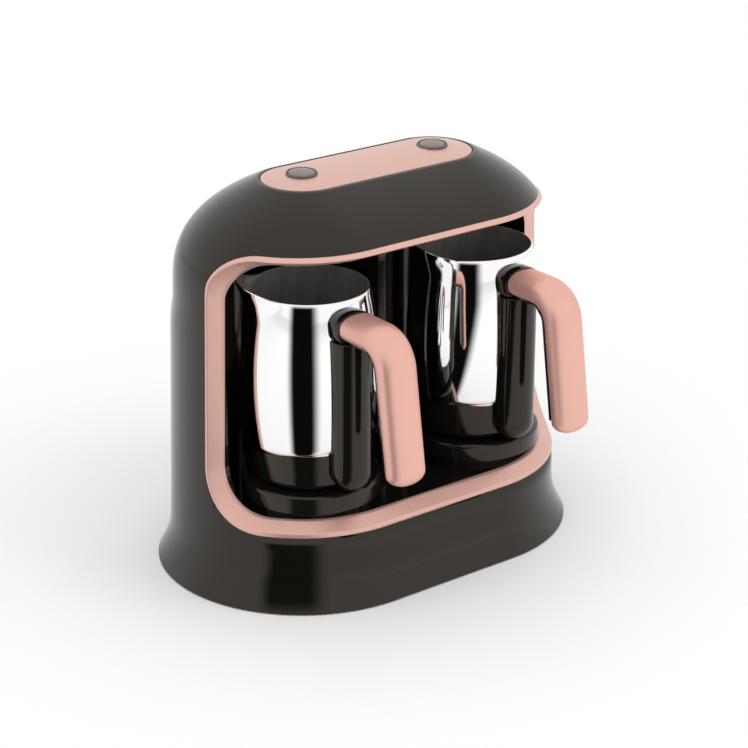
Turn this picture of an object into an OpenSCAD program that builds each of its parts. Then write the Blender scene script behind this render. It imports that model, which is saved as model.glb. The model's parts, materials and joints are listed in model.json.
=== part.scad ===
// Twin Turkish coffee maker: a gloss housing with an open bay and two pots on seats.
// Origin: centre of the underside, z = 0 on the counter. The front faces -Y, +Z is up.
// Units: millimetres.

/* [Housing] */
// Distance between the centres of the two rounded ends
end_spacing = 89.4; // [86:0.2:94]
// Radius of the column ends, extended down to the counter
column_radius = 81.6; // [80:0.2:83]
// Loss of radius for each millimetre of height
column_draft = 0.03; // [0.02:0.005:0.04]
// Wall of the housing shell
wall = 2.6; // [2.2:0.1:3]
// Radius of the flared foot at the counter
foot_radius = 89.7; // [88:0.2:92]
// Height at which the flare has run out into the column
flare_height = 34; // [32:1:36]
// Height of the shell rim over the counter
rim_height = 0.8; // [0.6:0.1:1.2]

/* [Top] */
// Height of the edge of the top plate, midway between front and back
top_height = 235.1; // [233:0.1:239]
// Set of the middle of the top plate towards the front
top_forward = 3.9; // [2:0.1:6]
// Slope of the top plate towards the front, in degrees
top_tilt = 1; // [0.5:0.1:2]
// Depth of the rounded shoulder under the top plate
shoulder_depth = 70; // [66:1:74]
// Power of the shoulder curve (1 is a cone)
shoulder_power = 3.2; // [2.8:0.1:3.6]
// Distance between the end centres of the top plate
plate_spacing = 94.2; // [92:0.2:96]
// Radius of the top plate ends
plate_radius = 23.6; // [23:0.1:24.4]
// Thickness of the top plate at its edge
plate_thick = 2.2; // [1.8:0.1:3]
// Rise of the middle of the domed top plate over its edge
plate_crown = 2.6; // [1.5:0.1:3.4]

/* [Opening] */
// Lower edge of the opening
opening_bottom = 44.8; // [44:0.1:46]
// Height of the housing between the opening and the middle of the top
opening_band = 26.4; // [25:0.1:28]
// Rear edge of the opening, measured towards the front
opening_rear = 12.5; // [11:0.1:14]
// Corner radius at the bottom of the opening
opening_low_radius = 35; // [32:1:38]
// Corner radius at the top of the opening
opening_high_radius = 27; // [24:1:30]
// Depth of the sloping frame behind the skin
trim_depth = 7; // [6:0.1:8]
// Width of the frame at the sides
trim_side = 4.5; // [4:0.1:5]
// Width of the frame at the top
trim_head = 7; // [6:0.1:8]
// Width of the frame at the bottom
trim_sill = 7.8; // [7:0.1:9]

/* [Bay] */
// Floor of the bay
bay_floor = 52; // [51.6:0.1:52.6]
// Drop of the ceiling of the bay under the upper edge of the opening
ceiling_drop = 6; // [5:0.1:6.6]
// Radius of each niche
niche_radius = 58; // [57:0.1:59]
// Half of the width kept between the side walls of the bay
bay_half_width = 110; // [109:0.5:111]
// Half of the width of the middle ridge
ridge_half = 2.5; // [2:0.1:3.5]
// Front edge of the middle ridge, measured towards the front
ridge_front = 21; // [19:0.5:23]
// Wall of the bay liner
liner_wall = 2; // [1.6:0.1:2.4]

/* [Pots] */
// Sideways place of each pot axis
pot_x = 60.3; // [59:0.1:61]
// Place of the pot axes, measured towards the front
pot_forward = 28.8; // [27:0.1:30]
// Radius of the belly of the pot
belly_radius = 40.3; // [39:0.1:41]
// Share of the pot height that lies under the widest part of the belly
belly_share = 0.498; // [0.46:0.002:0.54]
// Radius of the mouth
mouth_radius = 34.2; // [33:0.1:36]
// Space between the mouth rims and the ceiling of the bay
rim_clearance = 21.3; // [19:0.1:24]
// Thickness of the steel
steel_wall = 1.2; // [1:0.1:1.6]
// Underside of the pot
pot_bottom = 67.1; // [67:0.1:68]
// Radius of the base cup at its foot
cup_radius = 35; // [34:0.1:35.6]
// Height of the joint between cup and steel on the axis
cup_joint = 88; // [86:0.5:90]
// Slope of that joint, rising to the handle, in degrees
cup_slope = 7; // [5:0.5:8]
// Reach of the spout tip from the pot axis
spout_reach = 43; // [41:0.5:45]
// Radius of the spout at its lip
spout_radius = 28; // [25:0.5:29]
// Height of the spout tip over the rim
spout_rise = 6; // [4:0.5:8]
// Turn of the spout towards the back, in degrees
spout_turn = 20; // [12:1:26]

/* [Handles] */
// How far the pod axis stands out from the foot of the cup
pod_reach = 3.5; // [2.5:0.1:4.5]
// Radius of the pod
pod_radius = 12.3; // [11:0.1:12.6]
// Width of the grip
grip_width = 24; // [22:0.5:26]
// Thickness of the grip
grip_thick = 15; // [14:0.5:17]
// Drop of the grip axis at its root under the mouth rim
grip_drop = 12.4; // [11:0.1:14]
// Reach of the grip axis from the pot axis at its free end
grip_reach = 89; // [86:0.5:92]
// Height of the grip axis at its free end
grip_end_height = 97; // [94:0.5:100]

/* [Buttons] */
// Sideways place of each button
button_x = 47.1; // [46:0.1:49]
// Radius of the ring round a button
bezel_radius = 9.3; // [9:0.1:9.8]
// Radius of a button
button_radius = 7.7; // [7.4:0.1:7.9]
// Travel of a button
button_travel = 1.5; // [1:0.1:1.8]

/* [Clearances] */
// Gap at the seams of the housing
seam_gap = 0.3; // [0.2:0.05:0.5]
// Gap between parts that sit in one another
fit_gap = 0.1; // [0.05:0.05:0.2]
// Running gap round a moving part
run_gap = 0.4; // [0.3:0.05:0.5]

/* [Fasteners] */
// Radius of a housing screw shank
screw_radius = 1.5; // [1.4:0.1:1.8]
// Radius of a housing screw head
screw_head = 3; // [2.8:0.1:3.4]

/* [Output] */
// Piece to draw ("all" draws every piece)

/* [Hidden] */
$fn = 96;
eps = 0.01;
opening_top = top_height - opening_band;
bay_ceiling = opening_top - ceiling_drop;
mouth_height = bay_ceiling - rim_clearance;
belly_height = pot_bottom + belly_share * (mouth_height - pot_bottom);
grip_height = mouth_height - grip_drop;
half_gap = end_spacing / 2;
plate_half = plate_spacing / 2;
pocket_gap = 0.4;
plate_lip = 1.2;
crown_radius = (plate_radius * plate_radius + plate_crown * plate_crown) / (2 * plate_crown);
bezel_seat = 0.45;
shoulder_radius = column_at(top_height - shoulder_depth) + half_gap - plate_half + 0.6;
flare_top_radius = column_at(flare_height) - 0.25;
flare_drop = foot_radius - flare_top_radius;
flare_radius = (flare_height * flare_height + flare_drop * flare_drop) / (2 * flare_drop);
seat_top = pot_bottom - fit_gap;
seat_radius = belly_radius + 0.7;
rear_half_width = 62;
rear_low = 24;
rear_high = top_height - shoulder_depth - 16;
rear_corner = 12;
base_thick = 2.6;
base_top = rim_height + base_thick;
boss_radius = 4.5;
boss_ring = 73;
liner_back = niche_radius - pot_forward;
pad_radius = 9;
contact_radius = 13;
sensor_radius = 6;
board_depth = 18;
board_thick = 1.6;
board_half_width = 14;
board_half_length = button_x + 12.5;
board_y = liner_back + liner_wall + 10;
power_half_width = end_spacing / 2 + 5.3;
power_height = bay_ceiling - 82;
pod_bottom = pot_bottom + 1;
pod_top = grip_height - grip_thick / 2 - 1;
gland_height = 42;
gland_radius = 6;
gland_flange = gland_radius + 2.5;
gland_seat = column_at(gland_height - gland_flange) + fit_gap;
trim_low_radius = opening_low_radius - 7;
trim_high_radius = opening_high_radius - 4;
trim_rear = trim_depth + 2.4;
liner_inset = trim_rear + 0.2;
spring_radius = 4;
spring_wire = 0.35;
spring_turns = 5;
spout_root = mouth_radius - 7;
spout_axis = spout_reach - spout_radius;
spout_depth = 16;
spout_foot = belly_at(mouth_height - spout_depth) - spout_axis - 1.5;
pod_offset = cup_radius + pod_reach;
handle_bore_depth = max(pod_offset, belly_radius) + 6;
spout_slope = atan(spout_rise / (spout_reach - spout_root));
grip_bend = 17;
grip_root = mouth_radius + 11;
grip_turn = grip_reach - grip_bend - 8.5;
grip_lean = 8.6;
grip_flat = grip_thick / 2 - 1.5;
grip_arc_end = [
    grip_turn + grip_bend * cos(grip_lean),
    grip_height - grip_bend + grip_bend * sin(grip_lean)
];
rim_steps = [3, 14, 12, 8, 12, 12, 3];
rim_stations = concat(
    [[0, 0]],
    [for (run = [0:6]) for (i = [1:rim_steps[run]]) [run, i / rim_steps[run]]]
);
rim_count = len(rim_stations);

// Section of the frame: edge share and depth of each corner
trim_section = [
    [0, -0.35], [0.3, -0.45], [0.4, 0.2], [1, trim_depth], [1, trim_rear],
    [0.35, wall + 2], [-0.3, wall + 2], [-0.3, wall + 0.2], [0, wall + 0.2]
];

// Column end radius at a height
function column_at(z) = column_radius - column_draft * z;

// Foot flare radius at a height
function flare_at(z) =
    flare_top_radius + flare_radius
    - sqrt(flare_radius * flare_radius - (flare_height - z) * (flare_height - z));

// Shoulder radius at a depth below the plate
function shoulder_at(d, inset) =
    let (t = min(1, max(0, 1 - d / shoulder_depth)))
    shoulder_radius - inset
    - (shoulder_radius - plate_radius - plate_lip - pocket_gap) * pow(t, shoulder_power);

// Belly radius of the pot at a height
function belly_at(z) =
    belly_radius - (belly_radius - mouth_radius)
    * pow((z - belly_height) / (mouth_height - belly_height), 2);

// Solid turned at both ends and carried straight between them; children: half profile
module stadium_turn(half) {
    for (side = [-1, 1])
        translate([side * half, 0, 0])
            rotate([0, 0, side > 0 ? -90 : 90])
                rotate_extrude(angle = 180)
                    children();
    translate([-half, 0, 0])
        rotate([90, 0, 90])
            linear_extrude(2 * half)
                union() {
                    children();
                    mirror([1, 0]) children();
                }
}

// Flat stadium plate
module stadium_plate(half, radius, height) {
    stadium_turn(half)
        square([radius, height]);
}

// Rectangle with rounded corners, drawn as one outline
module rounded_box(x0, y0, x1, y1, r) {
    polygon(concat(
        [for (a = [180:6:270]) [x0 + r + r * cos(a), y0 + r + r * sin(a)]],
        [for (a = [270:6:360]) [x1 - r + r * cos(a), y0 + r + r * sin(a)]],
        [for (a = [0:6:90]) [x1 - r + r * cos(a), y1 - r + r * sin(a)]],
        [for (a = [90:6:180]) [x0 + r + r * cos(a), y1 - r + r * sin(a)]]
    ));
}

// Places children in the sloping frame of the top plate
module on_top() {
    translate([0, -top_forward, top_height])
        rotate([top_tilt, 0, 0])
            children();
}

// Places children on the crown of the top plate
module on_crown() {
    on_top()
        translate([0, 0, plate_crown])
            children();
}

// The column, set in from the skin
module column_solid(inset) {
    stadium_turn(half_gap)
        polygon([
            [0, 6], [column_at(6) - inset, 6],
            [column_at(top_height + 4) - inset, top_height + 4], [0, top_height + 4]
        ]);
}

// The flared foot, set in from the skin
module flare_solid(inset, low) {
    stadium_turn(half_gap)
        polygon(concat(
            [[0, low]],
            [for (i = [0:12])
                let (z = low + (flare_height - low) * i / 12)
                [flare_at(max(0, z)) - inset, z]],
            [[0, flare_height]]
        ));
}

// Everything above the shoulder surface
module shoulder_cutter(inset) {
    on_top()
        difference() {
            translate([-160, -130, -shoulder_depth - 20])
                cube([320, 260, shoulder_depth + 60]);
            translate([0, 0, -shoulder_depth - 30])
                stadium_turn(plate_half)
                    polygon(concat(
                        [[0, 0], [shoulder_at(shoulder_depth, inset) + 8, 0]],
                        [for (i = [0:16])
                            let (d = shoulder_depth * (1 - sin(i * 90 / 16)))
                            [shoulder_at(d, inset), shoulder_depth + 30 - d - inset]],
                        [[0, shoulder_depth + 30 - inset]]
                    ));
        }
}

// Outside of the housing, set in from the skin
module housing_solid(inset, low) {
    difference() {
        union() {
            column_solid(inset);
            flare_solid(inset, low);
        }
        shoulder_cutter(inset);
    }
}

// Side view of the opening, grown by a margin, carried across the housing
module opening_prism(grow, sill, head, rear) {
    translate([-160, 0, 0])
        rotate([90, 0, 90])
            linear_extrude(320)
                polygon(concat(
                    [[-140, opening_bottom + sill - grow]],
                    corner_low(rear, sill, grow),
                    corner_high(rear, head, grow),
                    [[-140, opening_top - head + grow]]
                ));
}

// Lower rear corner of the opening in the side view
function corner_low(rear, sill, grow) =
    let (r = opening_low_radius - (rear > 0 ? opening_low_radius - trim_low_radius : 0) + grow)
    let (y1 = -opening_rear - rear + grow)
    let (z0 = opening_bottom + sill - grow)
    [for (a = [-90:6:0]) [y1 - r + r * cos(a), z0 + r + r * sin(a)]];

// Upper rear corner of the opening in the side view
function corner_high(rear, head, grow) =
    let (r = opening_high_radius - (rear > 0 ? opening_high_radius - trim_high_radius : 0) + grow)
    let (y1 = -opening_rear - rear + grow)
    let (z1 = opening_top - head + grow)
    [for (a = [0:6:90]) [y1 - r + r * cos(a), z1 - r + r * sin(a)]];

// Housing: gloss shell with the opening, the plate pocket and the rear doorway
module main_housing() {
    color([0.06, 0.06, 0.065])
        difference() {
            union() {
                difference() {
                    housing_solid(0, rim_height);
                    housing_solid(wall, -1);
                }
                housing_bosses();
                plate_ledge();
            }
            opening_prism(0.2, 0, 0, 0);
            rear_doorway(seam_gap);
            on_top()
                translate([0, 0, -plate_thick - 0.2])
                    stadium_plate(plate_half, plate_radius + pocket_gap, plate_thick + 12);
            for (side = [-1, 1])
                on_top()
                    translate([side * button_x, 0, -20])
                        cylinder(r = bezel_radius + 2, h = 30);
            base_screw_places()
                translate([0, 0, -1])
                    cylinder(r = screw_radius - 0.2, h = 16);
            rear_screw_places()
                rotate([90, 0, 0])
                    translate([0, 0, -20])
                        cylinder(r = screw_radius - 0.2, h = 40);
        }
}

// Ledge that carries the top plate
module plate_ledge() {
    on_top()
        translate([0, 0, -plate_thick - 2.2])
            difference() {
                stadium_plate(plate_half, plate_radius + plate_lip, 2);
                translate([0, 0, -1])
                    stadium_plate(plate_half - 22, plate_radius - 10, 4);
            }
}

// Screw posts in the foot and lugs beside the rear doorway
module housing_bosses() {
    intersection() {
        base_screw_places()
            union() {
                translate([0, 0, base_top])
                    cylinder(r = boss_radius, h = 18);
                translate([0, -boss_radius, base_top])
                    cube([20, 2 * boss_radius, 18]);
            }
        housing_solid(1.2, rim_height);
    }
    intersection() {
        rear_screw_places()
            translate([-6, -6 - wall, -6])
                cube([12, 6, 12]);
        housing_solid(1.2, rim_height);
    }
}

// Places of the screws that hold the base plate
module base_screw_places() {
    for (side = [0, 1])
        mirror([side, 0, 0])
            translate([half_gap, 0, 0])
                for (a = [-65, 0, 65])
                    rotate([0, 0, a])
                        translate([boss_ring, 0, 0])
                            children();
}

// Places of the screws that hold the rear cover
module rear_screw_places() {
    for (x = [-40, 40])
        for (z = [rear_low + 8, rear_high - 12])
            translate([x, column_at(z), z])
                children();
}

// Doorway in the back of the housing
module rear_doorway(grow) {
    translate([0, 130, 0])
        rotate([90, 0, 0])
            linear_extrude(90)
                rounded_box(
                    -rear_half_width - grow, rear_low - grow,
                    rear_half_width + grow, rear_high + grow, rear_corner
                );
}

// Rear cover with its flange and vents
module rear_cover() {
    color([0.07, 0.07, 0.075])
        difference() {
            intersection() {
                difference() {
                    housing_solid(0, rim_height);
                    housing_solid(wall, -1);
                }
                rear_doorway(0);
            }
            for (x = [-30:6:30])
                translate([x - 1.2, 60, rear_high - 54])
                    cube([2.4, 40, 30]);
            translate([0, 60, gland_height])
                rotate([-90, 0, 0])
                    cylinder(r = gland_radius + fit_gap, h = 40);
            rear_screw_places()
                rotate([90, 0, 0])
                    translate([0, 0, -20])
                        cylinder(r = screw_radius + fit_gap, h = 40);
        }
}

// Plate under the foot with posts, vents and pockets for the pads
module base_plate() {
    color([0.1, 0.1, 0.1])
        difference() {
            union() {
                translate([0, 0, rim_height])
                    stadium_plate(half_gap, flare_at(base_top) - wall - seam_gap, base_thick);
                liner_screw_places()
                    translate([0, 0, base_top - eps])
                        cylinder(r = boss_radius, h = bay_floor - liner_wall - fit_gap - base_top);
                translate([-36, board_y - 3, base_top - eps])
                    cube([72, 3, 20]);
            }
            for (x = [-30:6:30])
                translate([x - 1.2, 20, -1])
                    cube([2.4, 24, 6]);
            base_screw_places()
                translate([0, 0, -1])
                    cylinder(r = screw_radius + fit_gap, h = 6);
            base_screw_places()
                translate([0, 0, -1])
                    cylinder(r = screw_head + fit_gap, h = 1 + rim_height + 1.4);
            pad_places()
                translate([0, 0, -1])
                    cylinder(r = pad_radius + fit_gap, h = 1 + rim_height + 0.8);
            liner_screw_places()
                translate([0, 0, bay_floor - 14])
                    cylinder(r = screw_radius - 0.2, h = 20);
        }
}

// Places of the rubber pads
module pad_places() {
    children();
    for (x = [-1, 1])
        for (y = [-48, 48])
            translate([x * 64, y, 0])
                children();
}

// Rubber pads; the middle one carries the resting face
module foot_pads() {
    color([0.05, 0.05, 0.05])
        pad_places()
            cylinder(r = pad_radius, h = rim_height + 0.7);
}

// Countersunk screws of the base plate
module base_screws() {
    color([0.6, 0.6, 0.62])
        base_screw_places()
            union() {
                translate([0, 0, rim_height + 0.1])
                    cylinder(r = screw_head, h = 1.3);
                translate([0, 0, rim_height + 1.3])
                    cylinder(r = screw_radius - 0.2, h = 11);
            }
}

// Screws of the rear cover
module rear_screws() {
    color([0.6, 0.6, 0.62])
        rear_screw_places()
            rotate([90, 0, 0])
                union() {
                    translate([0, 0, -1.6])
                        cylinder(r = screw_head, h = 1.5);
                    translate([0, 0, -0.2])
                        cylinder(r = screw_radius - 0.2, h = 8);
                }
}

// Radius from the column end centre to the shoulder surface at an angle and height
function shoulder_reach(phi, z, inset, low = 30, high = 95, step = 0) =
    step > 16 ? (low + high) / 2 :
    let (r = (low + high) / 2)
    let (x = half_gap + r * cos(phi), y = -r * sin(phi))
    let (yl = (y + top_forward) * cos(top_tilt) + (z - top_height) * sin(top_tilt))
    let (d = (y + top_forward) * sin(top_tilt) - (z - top_height) * cos(top_tilt))
    let (gap = norm([max(0, x - plate_half), yl]) - shoulder_at(d - inset, inset))
    gap > 0
        ? shoulder_reach(phi, z, inset, low, r, step + 1)
        : shoulder_reach(phi, z, inset, r, high, step + 1);

// Radius from the column end centre to the skin
function skin_reach(phi, z, inset) =
    z < top_height - shoulder_depth - 12
        ? column_at(z) - inset
        : min(column_at(z) - inset, shoulder_reach(phi, z, inset));

// Point of the skin at an angle round the end
function skin_at_angle(phi, z, inset) =
    let (r = skin_reach(phi, z, inset))
    [half_gap + r * cos(phi), -r * sin(phi), z];

// Point of the skin of the end at a distance towards the front
function skin_at_y(y, z, inset) =
    let (r0 = skin_reach(asin(-y / (column_at(z) - inset)), z, inset))
    let (r1 = skin_reach(asin(min(1, -y / r0)), z, inset))
    let (phi = asin(min(1, -y / r1)))
    [half_gap + r1 * cos(phi), -r1 * sin(phi), z];

// Edges of the frame; k runs from 0 at its outer edge to 1 at its inner edge
function rim_rear(k) = -opening_rear - trim_side * k;
function rim_sill(k) = opening_bottom + trim_sill * k;
function rim_head(k) = opening_top - trim_head * k;
function rim_low_radius(k) = opening_low_radius + (trim_low_radius - opening_low_radius) * k;
function rim_high_radius(k) = opening_high_radius + (trim_high_radius - opening_high_radius) * k;

// Point on the right half of the frame: run and part of the run, edge and depth
function rim_point(run, t, k, inset) =
    let (y = rim_rear(k), a = rim_sill(k), b = rim_head(k))
    let (ra = rim_low_radius(k), rb = rim_high_radius(k))
    let (low_phi = asin((ra - y) / (skin_reach(30, a, inset))))
    let (high_phi = asin((rb - y) / (skin_reach(40, b, inset))))
    run == 0 ? [half_gap * t, skin_at_angle(90, a, inset)[1], a] :
    run == 1 ? skin_at_angle(90 + (low_phi - 90) * t, a, inset) :
    run == 2 ? skin_at_y(y - ra + ra * sin(90 * t), a + ra * (1 - cos(90 * t)), inset) :
    run == 3 ? skin_at_y(y, a + ra + (b - rb - a - ra) * t, inset) :
    run == 4 ? skin_at_y(y - rb + rb * cos(90 * t), b - rb + rb * sin(90 * t), inset) :
    run == 5 ? skin_at_angle(high_phi + (90 - high_phi) * t, b, inset) :
    [half_gap * (1 - t), skin_at_angle(90, b, inset)[1], b];

// Surround of the opening
module opening_trim() {
    count = len(trim_section);
    loop = concat(
        [for (s = rim_stations) [s, 1]],
        [for (i = [rim_count - 2:-1:1]) [rim_stations[i], -1]]
    );
    total = len(loop);
    points = [
        for (s = loop)
            for (c = trim_section)
                let (p = rim_point(s[0][0], s[0][1], c[0], c[1]))
                [s[1] * p[0], p[1], p[2]]
    ];
    faces = [
        for (i = [0:total - 1])
            for (j = [0:count - 1])
                let (a = i * count + j, b = i * count + (j + 1) % count)
                let (c = ((i + 1) % total) * count + j, d = ((i + 1) % total) * count + (j + 1) % count)
                for (half = [0, 1])
                    half == 0 ? [a, b, d] : [a, d, c]
    ];
    color([0.87, 0.67, 0.6])
        polyhedron(points, faces);
}

// Plan of the bay: two round niches that share the open front
module bay_plan(grow) {
    union() {
        for (side = [-1, 1])
            intersection() {
                translate([side * pot_x, -pot_forward + 3.8])
                    circle(niche_radius + grow);
                translate([side > 0 ? ridge_half - grow : -bay_half_width - grow, -120])
                    square([bay_half_width - ridge_half + 2 * grow, 220]);
            }
        translate([-bay_half_width - grow, -120])
            square([2 * bay_half_width + 2 * grow, 120 - ridge_front + grow]);
    }
}

// Liner of the bay with its side walls, floor and ceiling
module bay_liner() {
    color([0.05, 0.05, 0.055])
        difference() {
            union() {
                intersection() {
                    translate([0, 0, bay_floor - liner_wall])
                        linear_extrude(bay_ceiling - bay_floor + 2 * liner_wall)
                            bay_plan(liner_wall);
                    housing_solid(liner_inset, rim_height);
                }
                translate([-ridge_half - 0.5, -ridge_front - 1, bay_floor - liner_wall])
                    cube([2 * ridge_half + 1, ridge_front - 4, bay_ceiling - bay_floor + 2 * liner_wall]);
                intersection() {
                    for (side = [-1, 1])
                        translate([
                            side > 0 ? bay_half_width + 0.5 : -bay_half_width - 20.5,
                            -90, bay_floor - liner_wall
                        ])
                            cube([20, 92, bay_ceiling - bay_floor + 2 * liner_wall]);
                    housing_solid(liner_inset, rim_height);
                }
            }
            difference() {
                translate([0, 0, bay_floor])
                    linear_extrude(bay_ceiling - bay_floor)
                        bay_plan(0);
                liner_cheeks();
            }
            opening_prism(0, trim_sill, trim_head, trim_side + 0.01);
            liner_screw_places()
                translate([0, 0, bay_floor - 10])
                    cylinder(r = screw_radius + fit_gap, h = 20);
            sensor_places()
                translate([0, 0, -5])
                    cylinder(r = sensor_radius + fit_gap, h = 12);
            for (side = [-1, 1])
                translate([side * pot_x, -pot_forward, bay_floor - 5])
                    cylinder(r = contact_radius + fit_gap, h = 10);
        }
}

// Filled corners outside the side walls of the bay
module liner_cheeks() {
    for (side = [-1, 1])
        translate([side > 0 ? bay_half_width : -bay_half_width - 20, -120, bay_floor - 5])
            cube([20, 160, bay_ceiling - bay_floor + 10]);
}

// Places of the screws that hold the liner to its posts
module liner_screw_places() {
    for (side = [-1, 1])
        for (y = [-24, 24])
            translate([side * pot_x, y - pot_forward, 0])
                children();
}

// Places of the foam sensors in the ceiling
module sensor_places() {
    for (side = [-1, 1])
        translate([side * pot_x, -pot_forward, bay_ceiling])
            children();
}

// Screws of the liner, under the seats
module liner_screws() {
    color([0.6, 0.6, 0.62])
        liner_screw_places()
            union() {
                translate([0, 0, bay_floor + 0.1])
                    cylinder(r = screw_head, h = 1.6);
                translate([0, 0, bay_floor - 8])
                    cylinder(r = screw_radius - 0.2, h = 8.2);
            }
}

// Seat under one pot
module seat(side) {
    translate([side * pot_x, -pot_forward, 0])
        difference() {
            rotate_extrude()
                polygon(concat(
                    [[0, bay_floor + fit_gap], [seat_radius - 4, bay_floor + fit_gap]],
                    [[seat_radius - 4, bay_floor + 2.4], [seat_radius, bay_floor + 4.4]],
                    [for (a = [0:15:90]) [seat_radius - 2.4 + 2.4 * cos(a), seat_top - 2.4 + 2.4 * sin(a)]],
                    [[0, seat_top]]
                ));
            translate([0, 0, bay_floor - 1])
                cylinder(r = contact_radius + fit_gap, h = 30);
            for (y = [-24, 24])
                translate([0, y, bay_floor - 1])
                    cylinder(r = screw_head + 0.6, h = 3.4);
        }
}

module left_seat() {
    color([0.05, 0.05, 0.055])
        seat(-1);
}

module right_seat() {
    color([0.05, 0.05, 0.055])
        seat(1);
}

// Contact block flush with the seat, with two sprung rings
module contact_block(side) {
    translate([side * pot_x, -pot_forward, 0])
        difference() {
            translate([0, 0, bay_floor - liner_wall - 12])
                cylinder(r = contact_radius, h = seat_top - bay_floor + liner_wall + 12);
            for (r = [4, 8])
                translate([0, 0, seat_top - 1])
                    difference() {
                        cylinder(r = r + 1, h = 3);
                        translate([0, 0, -1])
                            cylinder(r = r - 1, h = 5);
                    }
        }
}

module left_contact_block() {
    color([0.75, 0.6, 0.3])
        contact_block(-1);
}

module right_contact_block() {
    color([0.75, 0.6, 0.3])
        contact_block(1);
}

// Height of the domed plate over its edge at a distance from its middle line
function crown_at(r) = plate_crown - crown_radius + sqrt(crown_radius * crown_radius - r * r);

// Domed plate that closes the top
module top_plate() {
    color([0.89, 0.74, 0.69])
        difference() {
            on_top()
                stadium_turn(plate_half)
                    polygon(concat(
                        [[0, -plate_thick], [plate_radius, -plate_thick]],
                        [for (i = [16:-1:0]) [plate_radius * i / 16, crown_at(plate_radius * i / 16)]]
                    ));
            for (side = [-1, 1])
                on_crown()
                    translate([side * button_x, 0, 0])
                        union() {
                            translate([0, 0, -12])
                                cylinder(r = bezel_radius - 0.8, h = 20);
                            translate([0, 0, -bezel_seat])
                                cylinder(r = bezel_radius + fit_gap, h = 8);
                        }
        }
}

// Bright rings round the buttons
module button_bezels() {
    color([0.8, 0.8, 0.82])
        for (side = [-1, 1])
            on_crown()
                translate([side * button_x, 0, 0])
                    rotate_extrude()
                        polygon([
                            [button_radius + run_gap, -12], [bezel_radius - 0.9, -12],
                            [bezel_radius - 0.9, 0.05 - bezel_seat], [bezel_radius, 0.05 - bezel_seat],
                            [bezel_radius, 0.3], [bezel_radius - 0.3, 0.7], [bezel_radius - 0.8, 0.9],
                            [button_radius + run_gap, 0.5]
                        ]);
}

// Clear rings that carry the button lights
module light_rings() {
    color([0.8, 0.8, 0.78])
        for (side = [-1, 1])
            on_crown()
                translate([side * button_x, 0, -board_depth + 0.1])
                    difference() {
                        cylinder(r = bezel_radius - 0.9, h = board_depth - 12.3);
                        translate([0, 0, -1])
                            cylinder(r = button_radius - 1.6, h = 20);
                    }
}

// Domed button with a skirt and a stem that meets its switch
module push_button(side) {
    on_crown()
        translate([side * button_x, 0, 0])
            difference() {
                union() {
                    rotate_extrude()
                        polygon(concat(
                            [[0, -8], [button_radius, -8]],
                            [for (i = [0:8]) [button_radius * cos(i * 11.25), 0.4 + 1.0 * sin(i * 11.25)]]
                        ));
                    translate([0, 0, -board_depth + 1.6 + button_travel + 0.1])
                        cylinder(r = 1.5, h = board_depth - 9);
                }
                translate([0, 0, -20])
                    difference() {
                        cylinder(r = button_radius - 1.4, h = 16);
                        cylinder(r = 1.5, h = 16);
                    }
            }
}

module left_button() {
    color([0.72, 0.68, 0.7])
        push_button(-1);
}

module right_button() {
    color([0.72, 0.68, 0.7])
        push_button(1);
}

// Return spring between the board and the button
module button_spring(side) {
    count = 8;
    per_turn = 24;
    total = spring_turns * per_turn;
    low = -board_depth + spring_wire + 0.1;
    high = -4 - spring_wire - 0.1;
    points = [
        for (i = [0:total])
            let (a = i * 360 / per_turn, z = low + (high - low) * i / total)
            for (j = [0:count - 1])
                let (r = spring_radius + spring_wire * cos(j * 360 / count))
                [r * cos(a), r * sin(a), z + spring_wire * sin(j * 360 / count)]
    ];
    faces = concat(
        [
            for (i = [0:total - 1])
                for (j = [0:count - 1])
                    for (half = [0, 1])
                        let (a = i * count + j, b = i * count + (j + 1) % count)
                        half == 0 ? [a, b, b + count] : [a, b + count, a + count]
        ],
        [[for (j = [count - 1:-1:0]) j], [for (j = [0:count - 1]) total * count + j]]
    );
    on_crown()
        translate([side * button_x, 0, 0])
            polyhedron(points, faces);
}

module left_button_spring() {
    color([0.6, 0.6, 0.62])
        button_spring(-1);
}

module right_button_spring() {
    color([0.6, 0.6, 0.62])
        button_spring(1);
}

// Board under the top plate, held by two posts
module control_board() {
    color([0.1, 0.35, 0.18])
        on_crown()
            union() {
                translate([-board_half_length, -board_half_width, -board_depth - board_thick])
                    cube([2 * board_half_length, 2 * board_half_width, board_thick]);
                for (x = [-20, 20])
                    translate([x, board_half_width + 2, -board_depth - board_thick])
                        cylinder(r = 3, h = board_depth + board_thick - plate_thick - plate_crown - 2.3);
                for (x = [-20, 20])
                    translate([x - 3, board_half_width - 2, -board_depth - board_thick])
                        cube([6, 4, board_thick]);
            }
}

// Switches under the button stems
module tact_switches() {
    color([0.15, 0.15, 0.16])
        for (side = [-1, 1])
            on_crown()
                translate([side * button_x, 0, -board_depth])
                    cylinder(r = 2.6, h = 1.5);
}

// Lenses that watch for rising foam, each with its board
module foam_sensors() {
    color([0.25, 0.08, 0.08])
        sensor_places()
            union() {
                translate([0, 0, -0.6])
                    cylinder(r = sensor_radius, h = 6);
                translate([-11, -9, liner_wall + 0.1])
                    cube([22, 18, 1.6]);
            }
}

// Board with the power parts, standing behind the bay
module power_board() {
    color([0.12, 0.38, 0.2])
        translate([-power_half_width, board_y, base_top + 0.1])
            cube([2 * power_half_width, board_thick, power_height]);
}

// Transformer on the power board
module transformer() {
    color([0.45, 0.4, 0.2])
        translate([-44, board_y + board_thick, 20])
            difference() {
                cube([30, 16, 26]);
                translate([-1, 12, 8])
                    cube([40, 8, 10]);
            }
}

// Two relays on the power board
module relays() {
    color([0.1, 0.25, 0.6])
        for (x = [-6, 20])
            translate([x, board_y + board_thick, 60])
                cube([18, 14, 15]);
}

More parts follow.
